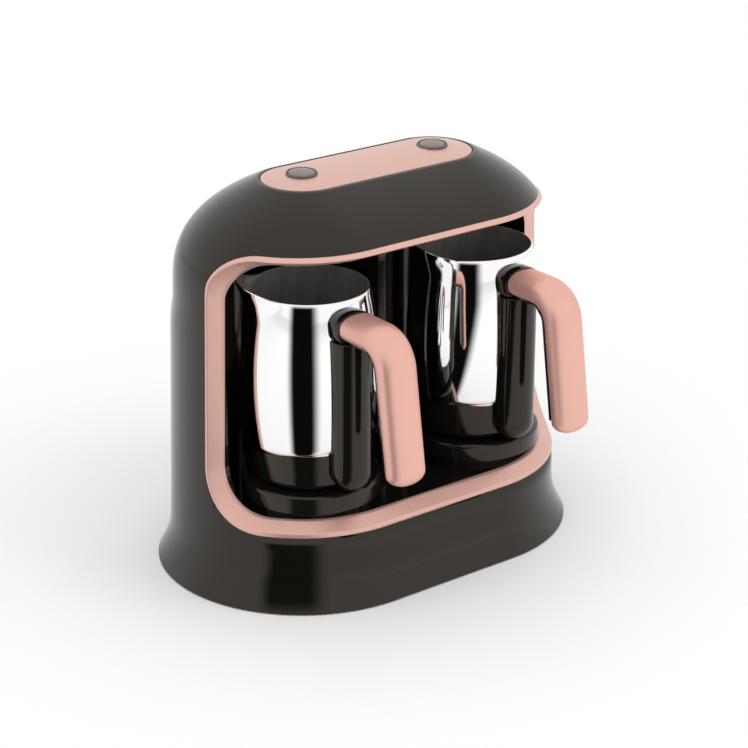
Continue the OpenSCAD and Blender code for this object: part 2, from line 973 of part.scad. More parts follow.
// Terminal block on the power board
module terminal_block() {
    color([0.85, 0.85, 0.8])
        translate([12, board_y + board_thick, 22])
            difference() {
                cube([28, 10, 12]);
                for (x = [4, 11, 18, 25])
                    translate([x - 0.5, 4, 6])
                        cylinder(r = 1.6, h = 10);
            }
}

// Buzzer on the power board
module buzzer() {
    color([0.08, 0.08, 0.08])
        translate([-30, board_y + board_thick, 90])
            rotate([-90, 0, 0])
                difference() {
                    cylinder(r = 7, h = 7);
                    translate([0, 0, 6])
                        cylinder(r = 1.2, h = 3);
                }
}

// Bush where the cord leaves the rear cover
module cord_gland() {
    color([0.06, 0.06, 0.06])
        translate([0, gland_seat, gland_height])
            rotate([-90, 0, 0])
                difference() {
                    union() {
                        cylinder(r = gland_flange, h = 2);
                        translate([0, 0, -wall - 3])
                            cylinder(r = gland_radius, h = wall + 4);
                    }
                    translate([0, 0, -wall - 5])
                        cylinder(r = 3, h = wall + 12);
                }
}

// Loom between the power board and the seats
module wiring() {
    color([0.7, 0.1, 0.1])
        for (side = [-1, 1])
            union() {
                translate([side * 30, board_y - 1, bay_floor - liner_wall - 8])
                    rotate([90, 0, 0])
                        cylinder(r = 1.5, h = board_y + pot_forward - 1);
                translate([side * 30, -pot_forward, bay_floor - liner_wall - 8])
                    rotate([0, side * 90, 0])
                        cylinder(r = 1.5, h = pot_x - 30 - contact_radius - 0.1);
                translate([side * 30, -pot_forward, bay_floor - liner_wall - 8])
                    sphere(r = 1.6);
            }
}

// Places children on one pot axis
module on_pot(side) {
    translate([side * pot_x, -pot_forward, 0])
        children();
}

// Outside of the pot belly, grown by a margin
module belly_solid(grow, low) {
    rotate_extrude()
        polygon(concat(
            [[0, low]],
            [for (i = [0:12]) let (z = low + (mouth_height - low) * i / 12) [belly_at(z) + grow, z]],
            [[0, mouth_height]]
        ));
}

// Half space under the sloping joint of cup and steel
module under_joint(lift) {
    translate([0, 0, cup_joint + lift])
        rotate([-cup_slope, 0, 0])
            translate([-70, -70, -60])
                cube([140, 140, 60]);
}

// Steel pot with its spout and a stepped foot inside the cup
module pot_steel(side) {
    on_pot(side)
        difference() {
            union() {
                difference() {
                    belly_solid(0, cup_joint - 12);
                    difference() {
                        under_joint(0);
                        cylinder(r = cup_radius - 1.4, h = 200);
                    }
                }
                spout_solid(0);
            }
            rotate_extrude()
                polygon(concat(
                    [[0, cup_joint - 2], [cup_radius - 4, cup_joint - 2], [cup_radius - 2.8, cup_joint + 1]],
                    [[cup_radius - 2.6, cup_joint + 6]],
                    [for (i = [0:10])
                        let (z = cup_joint + 11 + (mouth_height - cup_joint - 11) * i / 10)
                        [belly_at(z) - steel_wall, z]],
                    [[belly_at(mouth_height) - steel_wall, mouth_height + 1], [0, mouth_height + 1]]
                ));
            spout_solid(-steel_wall);
            handle_bores(screw_radius + fit_gap);
        }
}

// Spout: the mouth drawn out wide to one side, cut off along its rising lip
module spout_solid(grow) {
    rotate([0, 0, -spout_turn])
        intersection() {
            translate([-spout_axis, 0, mouth_height - spout_depth])
                cylinder(
                    r1 = spout_foot + grow,
                    r2 = spout_radius + grow,
                    h = spout_depth + spout_rise
                );
            translate([-spout_root, 0, mouth_height])
                rotate([0, spout_slope, 0])
                    translate([-40, -30, -60])
                        cube([80, 60, 60 + (grow < 0 ? 5 : 0)]);
        }
}

module left_pot_steel() {
    color([0.8, 0.8, 0.8])
        pot_steel(-1);
}

module right_pot_steel() {
    color([0.8, 0.8, 0.8])
        pot_steel(1);
}

// Cup that carries the steel pot and meets the seat
module pot_cup(side) {
    on_pot(side)
        difference() {
            rotate_extrude()
                polygon(concat(
                    [[0, pot_bottom]],
                    [for (a = [-90:15:0]) [cup_radius - 5 + 5 * cos(a), pot_bottom + 5 + 5 * sin(a)]],
                    [[cup_radius + 1.6, cup_joint + 8], [0, cup_joint + 8]]
                ));
            translate([0, 0, cup_joint - fit_gap])
                rotate([-cup_slope, 0, 0])
                    translate([-70, -70, 0])
                        cube([140, 140, 40]);
            translate([0, 0, pot_bottom + 2.2])
                cylinder(r = cup_radius - 1.3, h = 60);
            translate([0, 0, pot_bottom - 1])
                cylinder(r = contact_radius - 2, h = 6);
            handle_bores(screw_radius + fit_gap);
        }
}

module left_pot_cup() {
    color([0.05, 0.05, 0.055])
        pot_cup(-1);
}

module right_pot_cup() {
    color([0.05, 0.05, 0.055])
        pot_cup(1);
}

// Heating plate under the steel
module pot_heater(side) {
    on_pot(side)
        difference() {
            translate([0, 0, cup_joint - 15.6])
                cylinder(r = cup_radius - 5, h = 3.5);
            translate([0, 0, cup_joint - 17])
                cylinder(r = 9, h = 10);
        }
}

module left_pot_heater() {
    color([0.7, 0.7, 0.72])
        pot_heater(-1);
}

module right_pot_heater() {
    color([0.7, 0.7, 0.72])
        pot_heater(1);
}

// Thermostat in the middle of the heating plate
module pot_thermostat(side) {
    on_pot(side)
        union() {
            translate([0, 0, cup_joint - 15.6])
                cylinder(r = 8.6, h = 3.4);
            translate([0, 0, pot_bottom + 2.3])
                cylinder(r = 3, h = cup_joint - 15.6 - pot_bottom - 2.3);
        }
}

module left_pot_thermostat() {
    color([0.85, 0.85, 0.8])
        pot_thermostat(-1);
}

module right_pot_thermostat() {
    color([0.85, 0.85, 0.8])
        pot_thermostat(1);
}

// Contact rings in the foot of the cup
module pot_contacts(side) {
    on_pot(side)
        translate([0, 0, pot_bottom])
            difference() {
                cylinder(r = contact_radius - 2.1, h = 2.2);
                translate([0, 0, -1])
                    difference() {
                        cylinder(r = 6.8, h = 2);
                        translate([0, 0, -1])
                            cylinder(r = 5.2, h = 4);
                    }
            }
}

module left_pot_contacts() {
    color([0.8, 0.65, 0.3])
        pot_contacts(-1);
}

module right_pot_contacts() {
    color([0.8, 0.65, 0.3])
        pot_contacts(1);
}

// Seal between cup and steel
module pot_seal(side) {
    on_pot(side)
        translate([0, 0, cup_joint - 12.1])
            difference() {
                translate([0, 0, -3])
                    cylinder(r = cup_radius - 1.4, h = 3);
                translate([0, 0, -4])
                    cylinder(r = cup_radius - 4.8, h = 6);
            }
}

module left_pot_seal() {
    color([0.75, 0.75, 0.72])
        pot_seal(-1);
}

module right_pot_seal() {
    color([0.75, 0.75, 0.72])
        pot_seal(1);
}

// Bores of the handle screws through wall and pod
module handle_bores(radius) {
    for (z = [pod_bottom + 11, pod_top - 8])
        translate([0, 0, z])
            rotate([90, 0, 0])
                cylinder(r = radius, h = handle_bore_depth);
}

// Pod between the cup and the grip
module handle_pod(side) {
    on_pot(side)
        difference() {
            translate([0, -pod_offset, 0])
                union() {
                    translate([0, 0, pod_bottom + pod_radius])
                        cylinder(r = pod_radius, h = pod_top - pod_bottom - pod_radius);
                    translate([0, 0, pod_bottom + pod_radius])
                        sphere(r = pod_radius);
                }
            belly_solid(fit_gap, cup_joint - 2);
            translate([0, 0, pot_bottom - 1])
                cylinder(r = cup_radius + 1.7, h = cup_joint - pot_bottom + 1);
            handle_bores(screw_radius);
        }
}

module left_handle_pod() {
    color([0.05, 0.05, 0.055])
        handle_pod(-1);
}

module right_handle_pod() {
    color([0.05, 0.05, 0.055])
        handle_pod(1);
}

// Stations of the grip axis: reach, height, heading and size
grip_path = concat(
    [for (i = [0:3]) [grip_root + (grip_turn - grip_root) * i / 3, grip_height, 0, 1]],
    [for (i = [1:8])
        let (a = (90 - grip_lean) * i / 8)
        [grip_turn + grip_bend * sin(a), grip_height - grip_bend + grip_bend * cos(a), a, 1]],
    [for (i = [1:6])
        [
            grip_arc_end[0] + (grip_reach - grip_arc_end[0]) * i / 6,
            grip_arc_end[1] + (grip_end_height - grip_arc_end[1]) * i / 6,
            90 - grip_lean, 1
        ]],
    [for (i = [1:6])
        let (a = i * 14)
        [
            grip_reach + grip_thick / 2 * sin(a) * sin(grip_lean),
            grip_end_height - grip_thick / 2 * sin(a) * cos(grip_lean),
            90 - grip_lean, cos(a)
        ]]
);

// Outline of the grip section, flat towards the pot
function grip_section(a) =
    let (c = cos(a), s = sin(a))
    [
        grip_width / 2 * sign(c) * pow(abs(c), 0.8),
        max(-grip_flat, grip_thick / 2 * sign(s) * pow(abs(s), 0.8))
    ];

// Metal grip swept along its axis
module handle_grip(side) {
    count = 24;
    total = len(grip_path);
    points = concat(
        [
            for (s = grip_path)
                for (j = [0:count - 1])
                    let (q = grip_section(j * 360 / count + 7.5) * s[3])
                    [q[0], -s[0] - q[1] * sin(s[2]), s[1] + q[1] * cos(s[2])]
        ],
        [[0, -grip_path[0][0], grip_path[0][1]], [0, -grip_path[total - 1][0], grip_path[total - 1][1]]]
    );
    faces = concat(
        [
            for (i = [0:total - 2])
                for (j = [0:count - 1])
                    for (half = [0, 1])
                        let (a = i * count + j, b = i * count + (j + 1) % count)
                        half == 0 ? [a, b + count, b] : [a, a + count, b + count]
        ],
        [for (j = [0:count - 1]) [j, (j + 1) % count, total * count]],
        [for (j = [0:count - 1])
            [(total - 1) * count + (j + 1) % count, (total - 1) * count + j, total * count + 1]]
    );
    on_pot(side)
        polyhedron(points, faces);
}

module left_handle_grip() {
    color([0.93, 0.7, 0.64])
        handle_grip(-1);
}

module right_handle_grip() {
    color([0.93, 0.7, 0.64])
        handle_grip(1);
}

// Side view of the inlay along the inner face of the grip
module inlay_outline() {
    reach = len(grip_path) - 8;
    polygon(concat(
        [for (i = [0:reach])
            let (s = grip_path[i], n = grip_flat + 0.15)
            [s[0] - n * sin(s[2]), s[1] - n * cos(s[2])]],
        [for (i = [reach:-1:0])
            let (s = grip_path[i], n = grip_flat + 2.2)
            [s[0] - n * sin(s[2]), s[1] - n * cos(s[2])]]
    ));
}

// Collar on the pot wall with the inlay of the grip
module handle_core(side) {
    on_pot(side)
        difference() {
            union() {
                translate([0, -grip_root + 0.15, grip_height])
                    rotate([-90, 0, 0])
                        linear_extrude(14)
                            polygon([for (a = [0:10:350]) [12.6 * cos(a), 8.4 * sin(a)]]);
                translate([-7.5, 0, 0])
                    rotate([90, 0, 90])
                        linear_extrude(15)
                            mirror([1, 0])
                                inlay_outline();
                translate([-7.5, -grip_root - 4, grip_height - grip_flat - 2.2])
                    cube([15, 8, 2]);
            }
            belly_solid(fit_gap, cup_joint);
        }
}

module left_handle_core() {
    color([0.05, 0.05, 0.055])
        handle_core(-1);
}

module right_handle_core() {
    color([0.05, 0.05, 0.055])
        handle_core(1);
}

// Screws from inside the pot into the pod
module handle_screws(side) {
    on_pot(side)
        union() {
            translate([0, 0, pod_bottom + 11])
                rotate([90, 0, 0])
                    translate([0, 0, cup_radius - 4.2])
                        cylinder(r = screw_radius - 0.1, h = 12);
            translate([0, 0, pod_top - 8])
                rotate([90, 0, 0])
                    union() {
                        translate([0, 0, belly_at(pod_top - 8) - steel_wall - 1.4])
                            cylinder(r = screw_head, h = 1);
                        translate([0, 0, belly_at(pod_top - 8) - steel_wall - 1])
                            cylinder(r = screw_radius - 0.1, h = 9);
                    }
        }
}

module left_handle_screws() {
    color([0.6, 0.6, 0.62])
        handle_screws(-1);
}

module right_handle_screws() {
    color([0.6, 0.6, 0.62])
        handle_screws(1);
}

main_housing();
rear_cover();
base_plate();
foot_pads();
base_screws();
rear_screws();
opening_trim();
bay_liner();
liner_screws();
left_seat();
right_seat();
left_contact_block();
right_contact_block();
top_plate();
button_bezels();
light_rings();
control_board();
tact_switches();
foam_sensors();
power_board();
transformer();
relays();
terminal_block();
buzzer();
cord_gland();
wiring();
left_button();
right_button();
left_button_spring();
right_button_spring();
left_pot_steel();
left_pot_cup();
left_pot_heater();
left_pot_thermostat();
left_pot_contacts();
left_pot_seal();
left_handle_pod();
left_handle_core();
left_handle_grip();
left_handle_screws();
right_pot_steel();
right_pot_cup();
right_pot_heater();
right_pot_thermostat();
right_pot_contacts();
right_pot_seal();
right_handle_pod();
right_handle_core();
right_handle_grip();
right_handle_screws();
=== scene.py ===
"""Twin Turkish coffee maker: smooth visible pieces, finishes, studio and camera.

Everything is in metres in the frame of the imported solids: the origin is the centre of the underside,
+Z is up and the front faces -Y.
"""

import json
import logging
import math
from dataclasses import dataclass, field
from enum import Enum
from typing import Any, Callable, Sequence

import bmesh
import bpy
from mathutils import Matrix, Vector

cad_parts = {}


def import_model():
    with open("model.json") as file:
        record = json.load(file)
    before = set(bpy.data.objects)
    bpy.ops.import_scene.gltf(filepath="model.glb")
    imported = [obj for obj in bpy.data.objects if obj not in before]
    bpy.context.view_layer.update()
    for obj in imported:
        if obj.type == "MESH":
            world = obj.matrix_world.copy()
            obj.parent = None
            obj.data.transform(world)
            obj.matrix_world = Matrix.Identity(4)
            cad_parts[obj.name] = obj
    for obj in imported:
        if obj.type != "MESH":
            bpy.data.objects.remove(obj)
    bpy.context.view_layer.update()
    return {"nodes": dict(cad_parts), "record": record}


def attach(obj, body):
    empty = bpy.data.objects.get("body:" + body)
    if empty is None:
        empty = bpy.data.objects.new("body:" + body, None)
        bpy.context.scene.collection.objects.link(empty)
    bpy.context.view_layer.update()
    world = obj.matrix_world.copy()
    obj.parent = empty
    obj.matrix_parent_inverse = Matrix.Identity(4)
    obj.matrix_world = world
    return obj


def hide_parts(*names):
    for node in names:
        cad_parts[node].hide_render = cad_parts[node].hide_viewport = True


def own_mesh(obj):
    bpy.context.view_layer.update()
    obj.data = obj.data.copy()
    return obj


LOG = logging.getLogger("coffee_maker")
MM = 0.001
MERGE_REACH = 1e-6  # metres
SHARP_ANGLE = 38.0  # degrees
PLASTIC_IOR = 1.5
SENSOR_WIDTH = 36.0  # millimetres

Point = tuple[float, float, float]
Colour = tuple[float, float, float]
Pair = tuple[float, float]
EVEN = (1.0, 1.0, 1.0)


class Side(Enum):
    """The two pots, buttons and seats: left and right seen from the front."""

    LEFT = -1
    RIGHT = 1

    @property
    def word(self) -> str:
        """The word that starts the names of this side's pieces."""
        return self.name.lower()


class Shading(Enum):
    """How the faces of a piece are shaded."""

    SMOOTH = "smooth"
    BY_ANGLE = "by_angle"


class Signal:
    """A shader output that takes part in ordinary arithmetic."""

    def __init__(self, bench: "Bench", socket: bpy.types.NodeSocket) -> None:
        """Wraps one output socket of a bench."""
        self.bench = bench
        self.socket = socket

    def math(self, operation: str, first: Any, second: Any) -> "Signal":
        """Adds one Math node.

        Args:
            operation: The operation of the Math node.
            first: A number or a signal.
            second: A number or a signal.

        Returns:
            The output of the new node.
        """
        node = self.bench.node("ShaderNodeMath", {"operation": operation}, {0: first, 1: second})
        return Signal(self.bench, node.outputs[0])

    def __add__(self, other: Any) -> "Signal":
        """self + other."""
        return self.math("ADD", self, other)

    __radd__ = __add__

    def __sub__(self, other: Any) -> "Signal":
        """self - other."""
        return self.math("SUBTRACT", self, other)

    def __rsub__(self, other: Any) -> "Signal":
        """other - self."""
        return self.math("SUBTRACT", other, self)

    def __mul__(self, other: Any) -> "Signal":
        """self * other."""
        return self.math("MULTIPLY", self, other)

    __rmul__ = __mul__

    def below(self, limit: float) -> "Signal":
        """1 where the signal is below a limit, else 0."""
        return self.math("LESS_THAN", self, limit)


class Bench:
    """The node tree of one material or world, with one way to add nodes."""

    def __init__(self, tree: bpy.types.NodeTree) -> None:
        """Starts on an emptied tree."""
        self.tree = tree
        tree.nodes.clear()

    def plug(self, target: bpy.types.NodeSocket, value: Any) -> None:
        """Links a signal or socket to an input, or writes a constant on it.

        Args:
            target: The input socket.
            value: A Signal, an output socket, a number or a tuple.
        """
        if isinstance(value, Signal):
            value = value.socket
        if isinstance(value, bpy.types.NodeSocket):
            self.tree.links.new(value, target)
        elif isinstance(value, (int, float)):
            target.default_value = value
        else:
            wide = len(target.default_value) == 4 and len(value) == 3
            target.default_value = (*value, 1.0) if wide else value

    def node(
        self,
        kind: str,
        settings: dict[str, Any] | None = None,
        sockets: dict[Any, Any] | None = None,
    ) -> bpy.types.Node:
        """Adds a node, sets it up and then fills its inputs.

        Args:
            kind: The node's type name.
            settings: Properties of the node.
            sockets: Values or links for the inputs, by name or number.

        Returns:
            The new node.
        """
        node = self.tree.nodes.new(kind)
        for key, value in (settings or {}).items():
            setattr(node, key, value)
        for key, value in (sockets or {}).items():
            self.plug(node.inputs[key], value)
        return node

    def place(self, stretch: Point = EVEN) -> bpy.types.NodeSocket:
        """The place on the piece, stretched along its axes.

        Args:
            stretch: Scale of the coordinates along X, Y and Z.

        Returns:
            A vector socket.
        """
        spot = self.node("ShaderNodeTexCoord").outputs["Object"]
        if stretch == EVEN:
            return spot
        return self.node("ShaderNodeMapping", None, {"Vector": spot, "Scale": stretch}).outputs[0]

    def grain(self, scale: float, detail: float = 3.0, stretch: Point = EVEN) -> Signal:
        """A soft noise over the piece, from 0 to 1.

        Args:
            scale: Noise cells to the metre.
            detail: Octaves of the noise.
            stretch: Stretch of the coordinates.

        Returns:
            The noise as a signal.
        """
        node = self.node(
            "ShaderNodeTexNoise", None,
            {"Vector": self.place(stretch), "Scale": scale, "Detail": detail, "Roughness": 0.55},
        )
        return Signal(self, node.outputs[0])

    def tint(self, factor: Any, low: Colour, high: Colour) -> bpy.types.NodeSocket:
        """Blends two colours.

        Args:
            factor: The share of the second colour.
            low: Colour at 0.
            high: Colour at 1.

        Returns:
            A colour socket.
        """
        node = self.node("ShaderNodeMix", {"data_type": "RGBA"}, {0: factor, 6: low, 7: high})
        return node.outputs[2]

    def smooth(self, value: Signal, start: float, end: float) -> Signal:
        """A soft step.

        Args:
            value: What the step runs along.
            start: Where it is still 0.
            end: Where it has reached 1.

        Returns:
            The step, from 0 to 1.
        """
        sockets = {"Value": value, "From Min": start, "From Max": end}
        node = self.node("ShaderNodeMapRange", {"interpolation_type": "SMOOTHSTEP"}, sockets)
        return Signal(self, node.outputs[0])

    def relief(self, height: Signal, depth: float, strength: float) -> bpy.types.NodeSocket:
        """Turns a height signal into a normal.

        Args:
            height: The height, from 0 to 1.
            depth: What 1 stands for, in metres.
            strength: Strength of the relief.

        Returns:
            A normal socket.
        """
        node = self.node("ShaderNodeBump", None, {"Strength": strength, "Distance": depth, "Height": height})
        return node.outputs[0]


@dataclass(frozen=True)
class Finish:
    """A surface finish; each kind adds what varies over the surface."""

    name: str
    colour: Colour
    roughness: float = 0.4
    metallic: float = 0.0
    gloss_tint: Colour = (1.0, 1.0, 1.0)
    gloss_level: float = 0.5

    def vary(self, bench: Bench) -> dict[str, Any]:
        """The inputs of the shader that change over the surface.

        Args:
            bench: The material's bench.

        Returns:
            Links by input name.
        """
        cloud = bench.grain(60.0)
        return {"Base Color": bench.tint(cloud, shade(self.colour, 0.93), shade(self.colour, 1.07))}

    def surface(self, bench: Bench, shader: bpy.types.NodeSocket) -> bpy.types.NodeSocket:
        """What reaches the material's output: the plain shader, unless a kind mixes something in.

        Args:
            bench: The material's bench.
            shader: The output of the main shader.

        Returns:
            A shader socket.
        """
        return shader

    def material(self) -> bpy.types.Material:
        """The material of this finish, made once.

        Returns:
            The material.
        """
        title = f"{self.name}_finish"
        found = bpy.data.materials.get(title)
        if found:
            return found
        material = bpy.data.materials.new(title)
        material.use_nodes = True
        bench = Bench(material.node_tree)
        constants = {
            "Base Color": self.colour, "Roughness": self.roughness, "Metallic": self.metallic,
            "IOR": PLASTIC_IOR, "Specular Tint": self.gloss_tint, "Specular IOR Level": self.gloss_level,
        }
        shader = bench.node("ShaderNodeBsdfPrincipled", None, {**constants, **self.vary(bench)})
        bench.node("ShaderNodeOutputMaterial", None, {"Surface": self.surface(bench, shader.outputs[0])})
        material.diffuse_color = (*self.colour, 1.0)
        return material


def shade(colour: Colour, factor: float) -> Colour:
    """A colour made lighter or darker by a factor."""
    return (min(1.0, colour[0] * factor), min(1.0, colour[1] * factor), min(1.0, colour[2] * factor))


@dataclass(frozen=True)
class PianoGloss(Finish):
    """Moulded plastic polished to a mirror: faint haze and the slightest swell of the mould."""

    haze_grain: float = 35.0
    haze_share: float = 0.03
    swell_grain: float = 22.0
    swell: float = 0.00002
    swell_strength: float = 0.25

    def vary(self, bench: Bench) -> dict[str, Any]:
        """Haze in the roughness and a long, shallow swell.

        Args:
            bench: The material's bench.

        Returns:
            Links by input name.
        """
        haze = bench.grain(self.haze_grain, 4.0)
        swell = bench.grain(self.swell_grain, 1.0)
        return {
            "Base Color": bench.tint(haze, shade(self.colour, 0.85), shade(self.colour, 1.15)),
            "Roughness": self.roughness + haze * self.haze_share,
            "Normal": bench.relief(swell, self.swell, self.swell_strength),
        }


@dataclass(frozen=True)
class SatinMetal(Finish):
    """Blasted and plated metal with a fine silky grain."""

    grain: float = 2600.0
    grain_share: float = 0.08
    depth: float = 0.000004
    strength: float = 0.35
    cloud_grain: float = 30.0
    cloud_share: float = 0.05

    def vary(self, bench: Bench) -> dict[str, Any]:
        """Silky grain in roughness, colour and relief.

        Args:
            bench: The material's bench.

        Returns:
            Links by input name.
        """
        fine = bench.grain(self.grain, 2.0)
        cloud = bench.grain(self.cloud_grain)
        return {
            "Base Color": bench.tint(cloud, shade(self.colour, 0.965), shade(self.colour, 1.03)),
            "Roughness": self.roughness + (fine - 0.5) * self.grain_share + (cloud - 0.5) * self.cloud_share,
            "Normal": bench.relief(fine, self.depth, self.strength),
        }


@dataclass(frozen=True)
class MirrorSteel(Finish):
    """Polished steel: near mirror, with a breath of haze and hairline polish rings."""

    ring_grain: float = 900.0
    ring_stretch: Point = (0.02, 0.02, 1.0)
    ring_depth: float = 0.000002
    ring_strength: float = 0.12
    haze_grain: float = 28.0
    haze_share: float = 0.02

    def vary(self, bench: Bench) -> dict[str, Any]:
        """Haze and polish rings round the pot.

        Args:
            bench: The material's bench.

        Returns:
            Links by input name.
        """
        rings = bench.grain(self.ring_grain, 2.0, self.ring_stretch)
        haze = bench.grain(self.haze_grain)
        return {
            "Base Color": bench.tint(haze, shade(self.colour, 0.97), shade(self.colour, 1.02)),
            "Roughness": self.roughness + (rings + haze) * self.haze_share,
            "Normal": bench.relief(rings, self.ring_depth, self.ring_strength),
        }


@dataclass(frozen=True)
class PotSteel(MirrorSteel):
    """Steel of the pots: polished outside, satin and duller inside, with painted shade in the inside colour.
    """

    # Inside colour: steel painted darker with the shade of the pot's hollow.
    inside: Colour = (0.34, 0.325, 0.31)
    inside_roughness: float = 0.34
    inside_dulling: float = 0.7
    bottom_radius: float = 0.0325
    # Vertical streak noise: drawing marks in the roughness, painted reflection bands in the inside colour.
    streak_grain: float = 190.0
    streak_stretch: Point = (1.0, 1.0, 0.02)
    streak_share: float = 0.1

    def vary(self, bench: Bench) -> dict[str, Any]:
        """Polish outside; drawing marks, painted shade and painted reflection bands inside, told apart by
        which way the wall faces.

        Args:
            bench: The material's bench.

        Returns:
            Links by input name.
        """
        spots = bench.node("ShaderNodeTexCoord").outputs
        sockets = {0: spots["Object"], 1: (1.0, 1.0, 0.0)}
        flat = bench.node("ShaderNodeVectorMath", {"operation": "MULTIPLY"}, sockets).outputs[0]
        sockets = {0: spots["Normal"], 1: flat}
        facing = bench.node("ShaderNodeVectorMath", {"operation": "DOT_PRODUCT"}, sockets).outputs["Value"]
        away = bench.node("ShaderNodeVectorMath", {"operation": "LENGTH"}, {0: flat}).outputs["Value"]
        inner = Signal(bench, facing).below(0.0)
        inner = inner.math("MAXIMUM", inner, Signal(bench, away).below(self.bottom_radius))
        polished = super().vary(bench)
        # Inside colour: the streak noise gives drawing marks in the roughness and painted reflection bands
        # in the colour, over steel darkened with painted shade.
        drawn_streaks_and_painted_bands = bench.grain(self.streak_grain, 3.0, self.streak_stretch)
        satin_and_painted_shade = bench.tint(drawn_streaks_and_painted_bands, shade(self.inside, 0.62), shade(self.inside, 1.42))
        rough = self.inside_roughness + (drawn_streaks_and_painted_bands - 0.5) * self.streak_share
        return {
            "Base Color": bench.tint(inner, polished["Base Color"], satin_and_painted_shade),
            "Roughness": inner * rough + (1.0 - inner) * polished["Roughness"],
            "Metallic": 1.0 - inner * self.inside_dulling,
            "Normal": polished["Normal"],
        }


@dataclass(frozen=True)
class MouldedPlastic(Finish):
    """Plastic with a fine spark-eroded texture."""

    grain: float = 1500.0
    grain_share: float = 0.12
    depth: float = 0.00003
    strength: float = 0.3
    cloud_grain: float = 40.0

    def vary(self, bench: Bench) -> dict[str, Any]:
        """Fine grain in colour, roughness and relief.

        Args:
            bench: The material's bench.

        Returns:
            Links by input name.
        """
        fine = bench.grain(self.grain)
        cloud = bench.grain(self.cloud_grain, 2.0)
        return {
            "Base Color": bench.tint(cloud, shade(self.colour, 0.85), shade(self.colour, 1.15)),
            "Roughness": self.roughness + (fine - 0.5) * self.grain_share,
            "Normal": bench.relief(fine, self.depth, self.strength),
        }


@dataclass(frozen=True)
class Paper(Finish):
    """White paper that keeps the shadow near the foot and runs out into white further off."""

    near: float = 0.17
    far: float = 0.42
    cloud_grain: float = 3.0

    def vary(self, bench: Bench) -> dict[str, Any]:
        """The faintest cloud in the paper.

        Args:
            bench: The material's bench.

        Returns:
            Links by input name.
        """
        cloud = bench.grain(self.cloud_grain, 2.0)
        return {"Base Color": bench.tint(cloud, shade(self.colour, 0.995), shade(self.colour, 1.005))}

    def surface(self, bench: Bench, shader: bpy.types.NodeSocket) -> bpy.types.NodeSocket:
        """The paper, with plain white mixed in far from the foot for what looks straight at it.

        Args:
            bench: The material's bench.
            shader: The output of the main shader.

        Returns:
            A shader socket.
        """
        white = bench.node("ShaderNodeEmission", None, {"Color": (1.0, 1.0, 1.0), "Strength": 1.0})
        away = bench.node("ShaderNodeVectorMath", {"operation": "LENGTH"}, {0: bench.place()})
        far = bench.smooth(Signal(bench, away.outputs["Value"]), self.near, self.far)
        camera = Signal(bench, bench.node("ShaderNodeLightPath").outputs["Is Camera Ray"])
        mixed = bench.node("ShaderNodeMixShader", None, {0: far * camera, 1: shader, 2: white.outputs[0]})
        return mixed.outputs[0]


@dataclass(frozen=True)
class CardBlack(Finish):
    """Black that fades out towards the sides of the wedge in which the cards lie."""

    apex: Pair = (-0.071, -0.040)
    right: Pair = (15.0, 34.0)
    left: Pair = (62.0, 75.0)
    fade: Pair = (0.35, 0.8)

    def vary(self, bench: Bench) -> dict[str, Any]:
        """How much of the black covers what is behind it.

        Args:
            bench: The material's bench.

        Returns:
            Links by input name.
        """
        spot = bench.node("ShaderNodeSeparateXYZ", None, {0: bench.place()}).outputs
        across = self.apex[0] - Signal(bench, spot[0])
        front = self.apex[1] - Signal(bench, spot[1])
        turn = across.math("ARCTAN2", across, front) * math.degrees(1.0)
        cover = bench.smooth(turn, *self.right) * (1.0 - bench.smooth(turn, *self.left))
        return {"Alpha": cover * (1.0 - bench.smooth(Signal(bench, spot[2]), *self.fade))}


FLOOR_PAPER = Paper("floor_paper", (0.97, 0.97, 0.97), 0.9, gloss_level=0.0)
CARD_BLACK = CardBlack("card_black", (0.003, 0.003, 0.003), 0.9, gloss_level=0.0)
WARM_GLOSS = (1.0, 0.88, 0.80)
HOUSING = PianoGloss("housing_gloss", (0.006, 0.0058, 0.0044), 0.03, gloss_tint=WARM_GLOSS)
LINER = PianoGloss("liner_gloss", (0.007, 0.0068, 0.0052), 0.06, gloss_tint=WARM_GLOSS)
HANDLE_GLOSS = PianoGloss("handle_gloss", (0.006, 0.0058, 0.0044), 0.05, gloss_tint=WARM_GLOSS)
ROSE = SatinMetal("rose_metal", (0.73, 0.435, 0.365), 0.32, 0.45)
ROSE_GRIP = SatinMetal(
    "rose_grip", (0.80, 0.455, 0.38), 0.40, 0.6, gloss_tint=(1.0, 0.78, 0.70), depth=0.0000015
)
ROSE_PLATE = SatinMetal("rose_plate", (0.735, 0.463, 0.396), 0.36, 0.8, grain=1800.0)
STEEL = PotSteel("pot_steel", (0.96, 0.96, 0.96), 0.02, 1.0)
BUTTON = SatinMetal("button_metal", (0.25, 0.215, 0.215), 0.34, 0.9)
BRIGHT = MirrorSteel("bright_ring", (0.17, 0.145, 0.145), 0.14, 1.0)
SCREW = SatinMetal("screw_steel", (0.55, 0.55, 0.57), 0.35, 1.0)
SPRING = SatinMetal("spring_steel", (0.5, 0.5, 0.52), 0.3, 1.0)
PLASTIC = MouldedPlastic("black_plastic", (0.02, 0.02, 0.021), 0.5)
PART = MouldedPlastic("part_plastic", (0.04, 0.04, 0.05), 0.45)
CREAM = MouldedPlastic("cream_plastic", (0.6, 0.6, 0.53), 0.45)
LIGHT = MouldedPlastic("light_plastic", (0.75, 0.75, 0.72), 0.35)
RELAY = MouldedPlastic("relay_plastic", (0.02, 0.06, 0.28), 0.4)
PAD = MouldedPlastic("pad_rubber", (0.018, 0.018, 0.018), 0.75)
SEAL = MouldedPlastic("seal_rubber", (0.45, 0.45, 0.42), 0.7)
BOARD = MouldedPlastic("board_green", (0.02, 0.12, 0.045), 0.35)
LENS = PianoGloss("lens_dark", (0.05, 0.008, 0.008), 0.05)
BRASS = SatinMetal("contact_brass", (0.72, 0.5, 0.2), 0.3, 1.0)
